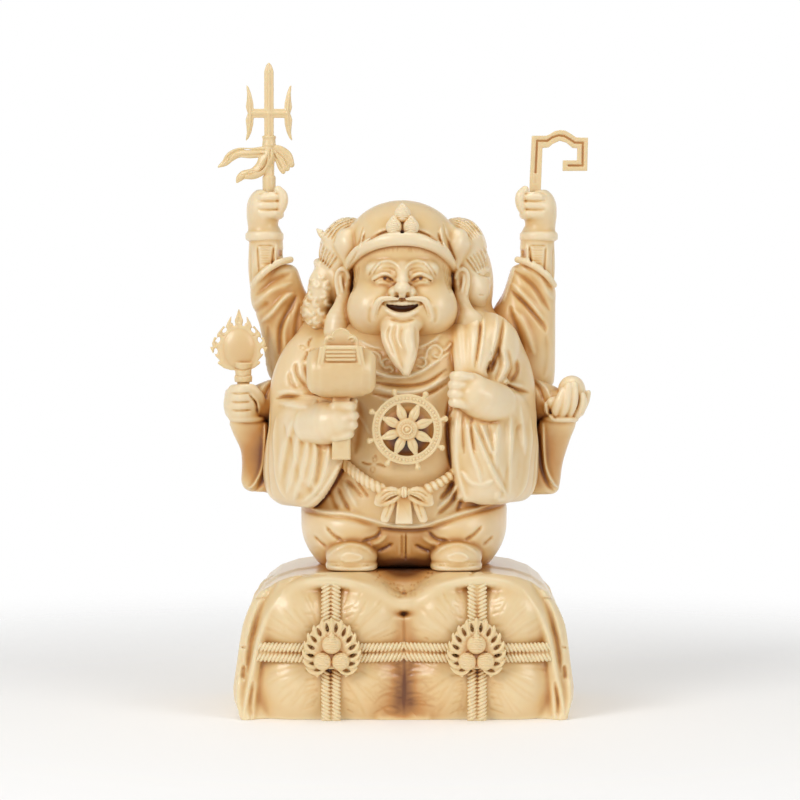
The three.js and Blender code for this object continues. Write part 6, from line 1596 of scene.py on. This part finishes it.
def sampled(grid, low, grain, points):
    """Values of a grid at points in mm, by blending the eight grid points around each."""
    place = np.clip((points - low) / grain, 0, np.array(grid.shape) - 1.001)
    cell = place.astype(int)
    share = place - cell
    value = np.zeros(len(points))
    for corner in CORNERS:
        weight = np.prod(np.where(corner, share, 1 - share), axis=1)
        value += weight * grid[tuple((cell + corner).T)]
    return value


# %% [markdown]
# ## Where the wash stays, and painted shade
# A figure like this is brushed with thin brown stain and wiped, so the stain stays in grooves and corners.
# Here the
# same darkening is also painted shade, where light doesn't reach. The share of material around each point is
# measured:
# half on a flat surface, more in a groove, less on an edge. It is measured twice, over 2 to 3 mm for the
# carved lines, which get wash and painted shade, and over 9 mm for the deep corners and the joints between
# pieces, which get painted occlusion shade. A list adds places with more stain or painted shade, and lighter
# places, some of them a painted highlight. All three go into the mesh as attributes that the material reads.

# %% Painted shade: the room round all pieces
ROOM_LOW, ROOM_HIGH = np.array([-78.0, -56.0, -2.0]), np.array([78.0, 50.0, 262.0])
room = np.zeros((ROOM_HIGH - ROOM_LOW).astype(int) + 1, np.float32)


def fill_room(clay):
    """Marks in the shared 1 mm grid what the piece fills."""
    first = np.maximum(np.ceil(clay.low - ROOM_LOW), 0).astype(int)
    top = clay.low + clay.grain * (np.array(clay.field.shape) - 1)
    last = np.minimum(np.floor(top - ROOM_LOW), np.array(room.shape) - 1).astype(int)
    picks = [np.rint((ROOM_LOW[k] + np.arange(first[k], last[k] + 1) - clay.low[k]) / clay.grain).astype(int)
             for k in range(3)]
    amount = np.clip(0.5 - clay.field[np.ix_(*picks)], 0, 1)
    area = tuple(slice(a, b + 1) for a, b in zip(first, last))
    room[area] = np.maximum(room[area], amount)


# %% Mesh: casting
def cast(name, clay, triangles):
    """Makes a Blender object from the clay, thinned to about the given number of triangles."""
    points, faces = skin(clay)
    mesh = bpy.data.meshes.new(name)
    mesh.vertices.add(len(points))
    mesh.vertices.foreach_set("co", (points * MM).astype(np.float32).ravel())
    mesh.loops.add(faces.size)
    mesh.loops.foreach_set("vertex_index", faces.ravel().astype(np.int32))
    mesh.polygons.add(len(faces))
    mesh.polygons.foreach_set("loop_start", np.arange(0, faces.size, 4, dtype=np.int32))
    mesh.update(calc_edges=True)
    piece = bpy.data.objects.new(name, mesh)
    bpy.context.scene.collection.objects.link(piece)
    if 2 * len(faces) > triangles:
        thin = piece.modifiers.new("thin", "DECIMATE")
        thin.ratio = triangles / (2 * len(faces))
        thinned = bpy.data.meshes.new_from_object(piece.evaluated_get(bpy.context.evaluated_depsgraph_get()))
        piece.modifiers.clear()
        piece.data = thinned
        thinned.name = name
    piece.data.polygons.foreach_set("use_smooth", np.ones(len(piece.data.polygons), bool))
    after = sum(len(polygon.vertices) - 2 for polygon in piece.data.polygons)
    print(f"{name}: {2 * len(faces)} triangles before, {after} after")
    return piece


# %% Wash and painted light: what is stored in the mesh
CARVED_REACH = 0.9  # mm each way for the near share
CORNER_REACH = 4  # mm each way for the wide share
# Where a marked place of stain, painted shade or painted highlight ends, in half axes
MARKED_PLACE_END = 1.15  # where a sprayed place ends, in half axes
# Places that get extra stain or painted shade, or are lighter (below zero), partly as painted highlight: part
# of the names of the pieces that are meant ("" for all), middle and half axes in mm, strength
STAIN_SHADE_HIGHLIGHT_PLACES = [
    # Painted shade between the shoes, partly thick wash; painted shade low on the legs, partly stain
    ("", (0, -18, 57), (14, 26, 6), 4.4), ("", (0, -24, 66), (44, 34, 13), 1.1),
    # Painted shade in the seam between the bales and along its foot, partly wash
    ("base", (0, -41, 14), (6, 8, 46), 1), ("base", (0, -42, 2), (24, 14, 30), 1.5),
    # Darker bottom corners and sides of the cloth: painted shade, partly stain
    ("base", (-57, -46, 4), (12, 12, 12), 0.7), ("base", (57, -46, 4), (12, 12, 12), 0.7),
    ("base", (-62, -44, 20), (7, 12, 24), 0.4), ("base", (62, -44, 20), (7, 12, 24), 0.4),
    # Painted shade in the eye slits, the small hole in the cap and the open mouth, with some wash
    ("figure_head", (-7.5, -26, 171.3), (1, 4, 0.9), 4), ("figure_head", (6.6, -26, 171.3), (1, 4, 0.9), 4),
    ("figure_head", (-0.8, -25, 189.6), (1.6, 5, 1.2), 4),
    ("figure_head", (-0.7, -25, 159.4), (7, 5, 2.1), 1.4),
    # Painted shade on the cap under its jewels; the face a little darker all over
    ("figure_head", (-0.7, -20, 193), (17, 14, 8), 0.6), ("figure_head", (-0.7, -20, 164), (22, 14, 17), 0.7),
    # The belt darker all over; wash and painted shade in the key's sunk line
    ("belt", (0, -40, 88), (60, 40, 30), 1.7), ("key_casting", (62, 9, 218), (40, 0.5, 40), 2.2),
    # Darker on the belly round the wheel; painted shadow of the wheel on the belly behind it
    ("figure_body", (1, -34, 103), (24, 12, 12), 0.4),
    ("figure_body", (1.2, -38.6, 111), (11.8, 6, 11.8), 5.5),
    # The side faces lighter; painted highlight on the front sleeves
    ("figure_head", (-33, -6, 176), (10, 16, 22), -1.1), ("figure_head", (33, -6, 176), (9, 16, 22), -1.1),
    ("figure_body", (-40, -32, 104), (17, 20, 26), -0.6), ("figure_body", (37, -32, 104), (15, 20, 26), -0.6),
    # The lowered sleeves darker, stain and painted shade; the raised sleeves darker
    ("arm", (-58, 0, 99), (15, 22, 30), 2), ("arm", (58, 0, 99), (15, 22, 30), 1.6),
    ("arm", (-50, 8, 160), (16, 22, 28), 1.1), ("arm", (50, 8, 160), (16, 22, 28), 1),
    # The flaming jewel a little darker
    ("flame_jewel_casting", (-64, -3, 142), (11, 6, 13), 0.6),
    # Painted shade in the bores of the raised fists, with some wash
    ("trident_arm", (-54.3, 9, 207.6), (3.4, 4, 1.7), 4.5), ("key_arm", (52.6, 9, 207.6), (3, 4, 1.7), 4.5),
    # Painted shade on the crests behind their jewels and on the ropes under them, with some wash
    ("casting", (-27.9, -45.6, 27), (11.4, 3, 11.4), 4), ("casting", (27.9, -45.6, 27), (11.4, 3, 11.4), 4),
]


def stain_shade_highlight_at(points, name):
    """Strength of the extra stain, painted shade and painted highlight at points in mm, fading out smoothly
    from the middle of each place.
    """
    amount = np.zeros(len(points))
    for pieces_meant, middle, reach, strength in STAIN_SHADE_HIGHLIGHT_PLACES:
        if pieces_meant in name:
            away = np.sqrt((((points - np.array(middle)) / np.array(reach)) ** 2).sum(1))
            near = np.clip(MARKED_PLACE_END - away, 0, 1) / MARKED_PLACE_END
            amount += strength * near * near * (3 - 2 * near)
    return amount


def mark_recesses(piece, clay):
    """Stores how much material surrounds each point, near by and further out, for wash and painted shade, and
    the marked places.
    """
    count = len(piece.data.vertices)
    points = np.empty(count * 3, np.float32)
    piece.data.vertices.foreach_get("co", points)
    points = points.reshape(-1, 3) / MM
    own = blurred(np.clip(0.5 - clay.field / clay.grain, 0, 1), max(1, round(CARVED_REACH / clay.grain)))
    for name, values in (("cavity", sampled(own, clay.low, clay.grain, points)),
                         ("hollow", sampled(wide, ROOM_LOW, 1.0, points)),
                         ("spray", stain_shade_highlight_at(points, piece.name))):
        layer = piece.data.attributes.new(name, "FLOAT", "POINT")
        layer.data.foreach_set("value", values.astype(np.float32))


# %% Pieces
SOLES = 57.3  # mm, how high the soles stand above the floor


def lifted(clay):
    """Moves clay that was measured from the soles up to its place on the base."""
    clay.low = clay.low + np.array([0, 0, SOLES], np.float32)
    return clay


CASTINGS = [
    # name, clay, triangles, CAD nodes that it stands for, material slot
    ("base_casting", make_base(), 165000, ["base"], "cast_cream"),
    ("rope_casting", make_ropes(), 80000, ["base"], "cast_cream"),
    ("crest_left_casting", make_crest(-1), 24000, ["bale_crest_left"], "cast_pale"),
    ("crest_right_casting", make_crest(1), 24000, ["bale_crest_right"], "cast_pale"),
    ("figure_body", lifted(make_body()), 170000, ["figure"], "cast_cream"),
    ("belt_casting", lifted(make_belt()), 28000, ["figure"], "cast_cream"),
    ("figure_head", lifted(make_head()), 155000, ["figure"], "cast_cream"),
    ("hat_jewels_casting", lifted(make_hat_jewels()), 14000, ["hat_jewels"], "cast_pale"),
    ("trident_arm_casting", lifted(raised_arm(-1)), 42000, ["trident_arm"], "cast_cream"),
    ("key_arm_casting", lifted(raised_arm(1)), 42000, ["key_arm"], "cast_cream"),
    ("flame_jewel_arm_casting", lifted(flame_jewel_arm()), 34000, ["flame_jewel_arm"], "cast_cream"),
    ("round_jewel_arm_casting", lifted(round_jewel_arm()), 34000, ["round_jewel_arm"], "cast_cream"),
    ("mallet_casting", lifted(make_mallet()), 36000, ["mallet"], "cast_pale"),
    ("wheel_casting", lifted(make_wheel()), 52000, ["wheel"], "cast_pale"),
    ("trident_casting", lifted(make_trident()), 36000, ["trident"], "cast_pale"),
    ("key_casting", lifted(make_key()), 20000, ["key"], "cast_pale"),
    ("flame_jewel_casting", lifted(make_flame_jewel()), 26000, ["flame_jewel"], "cast_pale"),
]

for casting in CASTINGS:
    fill_room(casting[1])
# The wide share of material, for painted occlusion shade in deep corners and joints between pieces
wide = blurred(room, CORNER_REACH)

pieces = {}
for name, clay, triangles, nodes, slot_name in CASTINGS:
    piece = cast(name, clay, triangles)
    mark_recesses(piece, clay)
    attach(piece, "root")
    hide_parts(*nodes)
    pieces[name] = piece
    points = np.array([corner[:] for corner in piece.bound_box]) / MM
    print(name, "from", points.min(0).round(1), "to", points.max(0).round(1))

# %% [markdown]
# ## Finish: cast resin, boxwood coloured
# The real material is polyester resin filled with stone powder and tinted like boxwood. It is a little
# waxy: light goes in a short way, and the gloss is broad and soft. On top lies the wiped stain, with painted
# shade in the recesses.

# %% Materials
def linear(code):
    """An sRGB hex colour as linear red, green, blue and 1."""
    channels = [int(code[k:k + 2], 16) / 255 for k in (1, 3, 5)]
    return [c / 12.92 if c <= 0.04045 else ((c + 0.055) / 1.055) ** 2.4 for c in channels] + [1.0]


def add_node(tree, kind, inputs=None, **settings):
    """Adds a node, sets its properties, and fills its inputs with values or other nodes' outputs."""
    node = tree.nodes.new(kind)
    for name, value in settings.items():
        setattr(node, name, value)
    for name, value in (inputs or {}).items():
        if isinstance(value, bpy.types.NodeSocket):
            tree.links.new(value, node.inputs[name])
        else:
            node.inputs[name].default_value = value
    return node


# Darkest stop of the ramp: painted deep shade, as between the shoes and in the mouth, with some thick wash
DREGS_AND_DEEP_SHADE = "#3A2210"  # the brown wash where it stood and dried
BLOTCHES = 0.06  # how much the blotches change the stain
# What each stored measure adds: the near share wash and painted shade, the wide share painted occlusion
# shade, the marked places stain, painted shade and painted highlight
CARVED_SHARE, OCCLUSION_SHADE_SHARE, STAIN_SHADE_HIGHLIGHT_SHARE = 0.62, 0.38, 0.1  # what each stored measure adds to the stain


def cast_resin(name, light, middle, recess, deepest, gloss):
    """Boxwood-coloured cast resin with wiped stain and painted shade in recesses, corners and joints."""
    material = bpy.data.materials.new(name)
    material.use_nodes = True
    tree = material.node_tree
    shader = tree.nodes["Principled BSDF"]
    place = add_node(tree, "ShaderNodeTexCoord").outputs["Object"]
    # Near share: wash in the carved lines, and painted shade in them
    cavity = add_node(tree, "ShaderNodeAttribute", attribute_name="cavity").outputs["Fac"]
    # Wide share: painted occlusion shade in deep corners and between pieces
    hollow = add_node(tree, "ShaderNodeAttribute", attribute_name="hollow").outputs["Fac"]
    # The stain is blotchy over about 8 mm
    blotches = add_node(tree, "ShaderNodeTexNoise",
                        {"Vector": place, "Scale": 120.0, "Detail": 3.0}).outputs["Fac"]
    blotch = add_node(tree, "ShaderNodeMath", {0: blotches, 1: BLOTCHES, 2: -BLOTCHES / 2},
                      operation="MULTIPLY_ADD").outputs[0]
    near = add_node(tree, "ShaderNodeMath", {0: cavity, 1: CARVED_SHARE, 2: blotch},
                    operation="MULTIPLY_ADD").outputs[0]
    depth = add_node(tree, "ShaderNodeMath", {0: hollow, 1: OCCLUSION_SHADE_SHARE, 2: near},
                     operation="MULTIPLY_ADD").outputs[0]
    # Marked places: extra stain, painted shade and painted highlight
    spray = add_node(tree, "ShaderNodeAttribute", attribute_name="spray").outputs["Fac"]
    stain_and_painted_light = add_node(tree, "ShaderNodeMath", {0: spray, 1: STAIN_SHADE_HIGHLIGHT_SHARE, 2: depth},
                     operation="MULTIPLY_ADD").outputs[0]
    # The ramp: lighter on raised edges (wiped, partly painted highlight), brown in recesses (wash and painted
    # shade), darkest for painted deep shade
    ramp = add_node(tree, "ShaderNodeValToRGB", {"Fac": stain_and_painted_light})
    stops = ((0.40, light), (0.52, middle), (0.62, recess), (0.76, deepest), (0.95, DREGS_AND_DEEP_SHADE))
    ramp.color_ramp.elements.remove(ramp.color_ramp.elements[0])
    ramp.color_ramp.elements[0].position, ramp.color_ramp.elements[0].color = stops[0][0], linear(stops[0][1])
    for position, code in stops[1:]:
        ramp.color_ramp.elements.new(position).color = linear(code)
    tree.links.new(ramp.outputs["Color"], shader.inputs["Base Color"])
    # Fine grain of the cast surface, about 0.5 mm
    grain = add_node(tree, "ShaderNodeTexNoise",
                     {"Vector": place, "Scale": 1800.0, "Detail": 2.0}).outputs["Fac"]
    bump = add_node(tree, "ShaderNodeBump",
                    {"Height": grain, "Strength": 0.08, "Distance": 0.0003}).outputs[0]
    tree.links.new(bump, shader.inputs["Normal"])
    shader.inputs["Roughness"].default_value = gloss
    shader.inputs["IOR"].default_value = 1.5
    shader.inputs["Coat Weight"].default_value = 0.35
    shader.inputs["Coat Roughness"].default_value = 0.2
    shader.inputs["Subsurface Weight"].default_value = 0.15
    shader.inputs["Subsurface Radius"].default_value = (0.004, 0.0022, 0.001)
    shader.inputs["Subsurface Scale"].default_value = 1.0
    return material


cream = cast_resin("cast_resin_boxwood", "#F3DFBA", "#E7C58C", "#CC9049", "#7E461C", 0.36)
pale = cast_resin("cast_resin_pale", "#EAD0A0", "#DFB880", "#C48A4C", "#84491F", 0.36)
tan = cast_resin("cast_resin_base", "#EFDAB0", "#E4C38C", "#C78E4E", "#744018", 0.3)
for name, clay, triangles, nodes, slot_name in CASTINGS:
    material = tan if "base" in nodes else cream if slot_name == "cast_cream" or "jewels" in name else pale
    pieces[name].data.materials.append(material)
print("materials:", cream.name, pale.name, tan.name)

# %% [markdown]
# ## Floor, light and camera
# The photograph is a catalogue picture: a white ground, large soft lamps in front to both sides and above,
# and a long lens at the height of the figure's chest.

# %% Floor
FADE_START, FADE_END = 0.14, 0.5  # metres from the middle
bpy.ops.mesh.primitive_circle_add(vertices=96, radius=1.6, fill_type="NGON", location=(0, 0, 0))
floor = bpy.context.object
floor.name = "floor"
paper = bpy.data.materials.new("studio_paper")
paper.use_nodes = True
tree = paper.node_tree
sheet = tree.nodes["Principled BSDF"]
sheet.inputs["Base Color"].default_value = linear("#FBFAF8")
sheet.inputs["Roughness"].default_value = 0.9
sheet.inputs["Emission Color"].default_value = (1, 1, 1, 1)
sheet.inputs["Emission Strength"].default_value = 0.12
# The paper fades into the white room, so no edge and no horizon shows
place = add_node(tree, "ShaderNodeTexCoord").outputs["Object"]
away = add_node(tree, "ShaderNodeVectorMath", {0: place}, operation="LENGTH").outputs["Value"]
fade = add_node(tree, "ShaderNodeMapRange", {"Value": away, "From Min": FADE_START, "From Max": FADE_END},
                interpolation_type="SMOOTHSTEP").outputs["Result"]
clear = add_node(tree, "ShaderNodeBsdfTransparent").outputs["BSDF"]
both = add_node(tree, "ShaderNodeMixShader", {0: fade, 1: sheet.outputs["BSDF"], 2: clear}).outputs["Shader"]
tree.links.new(both, tree.nodes["Material Output"].inputs["Surface"])
floor.data.materials.append(paper)
print("floor: white to", FADE_START, "m, gone at", FADE_END, "m")

# %% Light
world = bpy.data.worlds.new("studio")
world.use_nodes = True
sky = world.node_tree
direction = add_node(sky, "ShaderNodeTexCoord").outputs["Generated"]
height = add_node(sky, "ShaderNodeSeparateXYZ", {"Vector": direction}).outputs["Z"]
above = add_node(sky, "ShaderNodeMapRange", {"Value": height, "From Min": 0.2, "From Max": 0.5, "To Min": 1.0,
                                             "To Max": 0.35}).outputs["Result"]
behind = add_node(sky, "ShaderNodeSeparateXYZ", {"Vector": direction}).outputs["Y"]
level = add_node(sky, "ShaderNodeMapRange", {"Value": behind, "From Min": 0.2, "From Max": 0.9, "To Min": 0.6,
                                             "To Max": 1.0}).outputs["Result"]
level = add_node(sky, "ShaderNodeMath", {0: above, 1: level}, operation="MULTIPLY").outputs[0]
sky.links.new(level, sky.nodes["Background"].inputs["Strength"])
sky.nodes["Background"].inputs["Color"].default_value = (1.0, 1.0, 1.0, 1.0)
bpy.context.scene.world = world
bpy.context.scene.view_settings.view_transform = "Standard"


def softbox(name, place, target, size, power):
    """A square area lamp that looks at a point."""
    lamp = bpy.data.lights.new(name, "AREA")
    lamp.energy, lamp.size = power, size
    holder = bpy.data.objects.new(name, lamp)
    bpy.context.scene.collection.objects.link(holder)
    holder.location = place
    holder.rotation_euler = (Vector(target) - Vector(place)).to_track_quat("-Z", "Y").to_euler()
    print(name, "at", place, "with", power, "W")


# name, place, where it looks, side length in metres, watts
softbox("left_box", (-0.85, -0.95, 0.75), (0, 0, 0.13), 0.6, 8)
softbox("right_box", (0.95, -0.85, 0.6), (0, 0, 0.13), 0.6, 4.2)
softbox("top_box", (0, -0.1, 1.2), (0, 0, 0.1), 0.7, 4)

# %% Camera
EYE = (0.0, -1.2, 0.165)  # metres
TILT = 2.01  # degrees downwards
LENS = 135  # mm, on film 36 mm wide
SHIFT = -0.005  # of the picture's width
camera_data = bpy.data.cameras.new("camera")
camera_data.lens, camera_data.sensor_width = LENS, 36
camera_data.shift_x = SHIFT
camera = bpy.data.objects.new("camera", camera_data)
camera.location = EYE
camera.rotation_euler = (math.radians(90 - TILT), 0, 0)
bpy.context.scene.collection.objects.link(camera)
bpy.context.scene.camera = camera
print("camera at", EYE, "with a lens of", LENS, "mm")
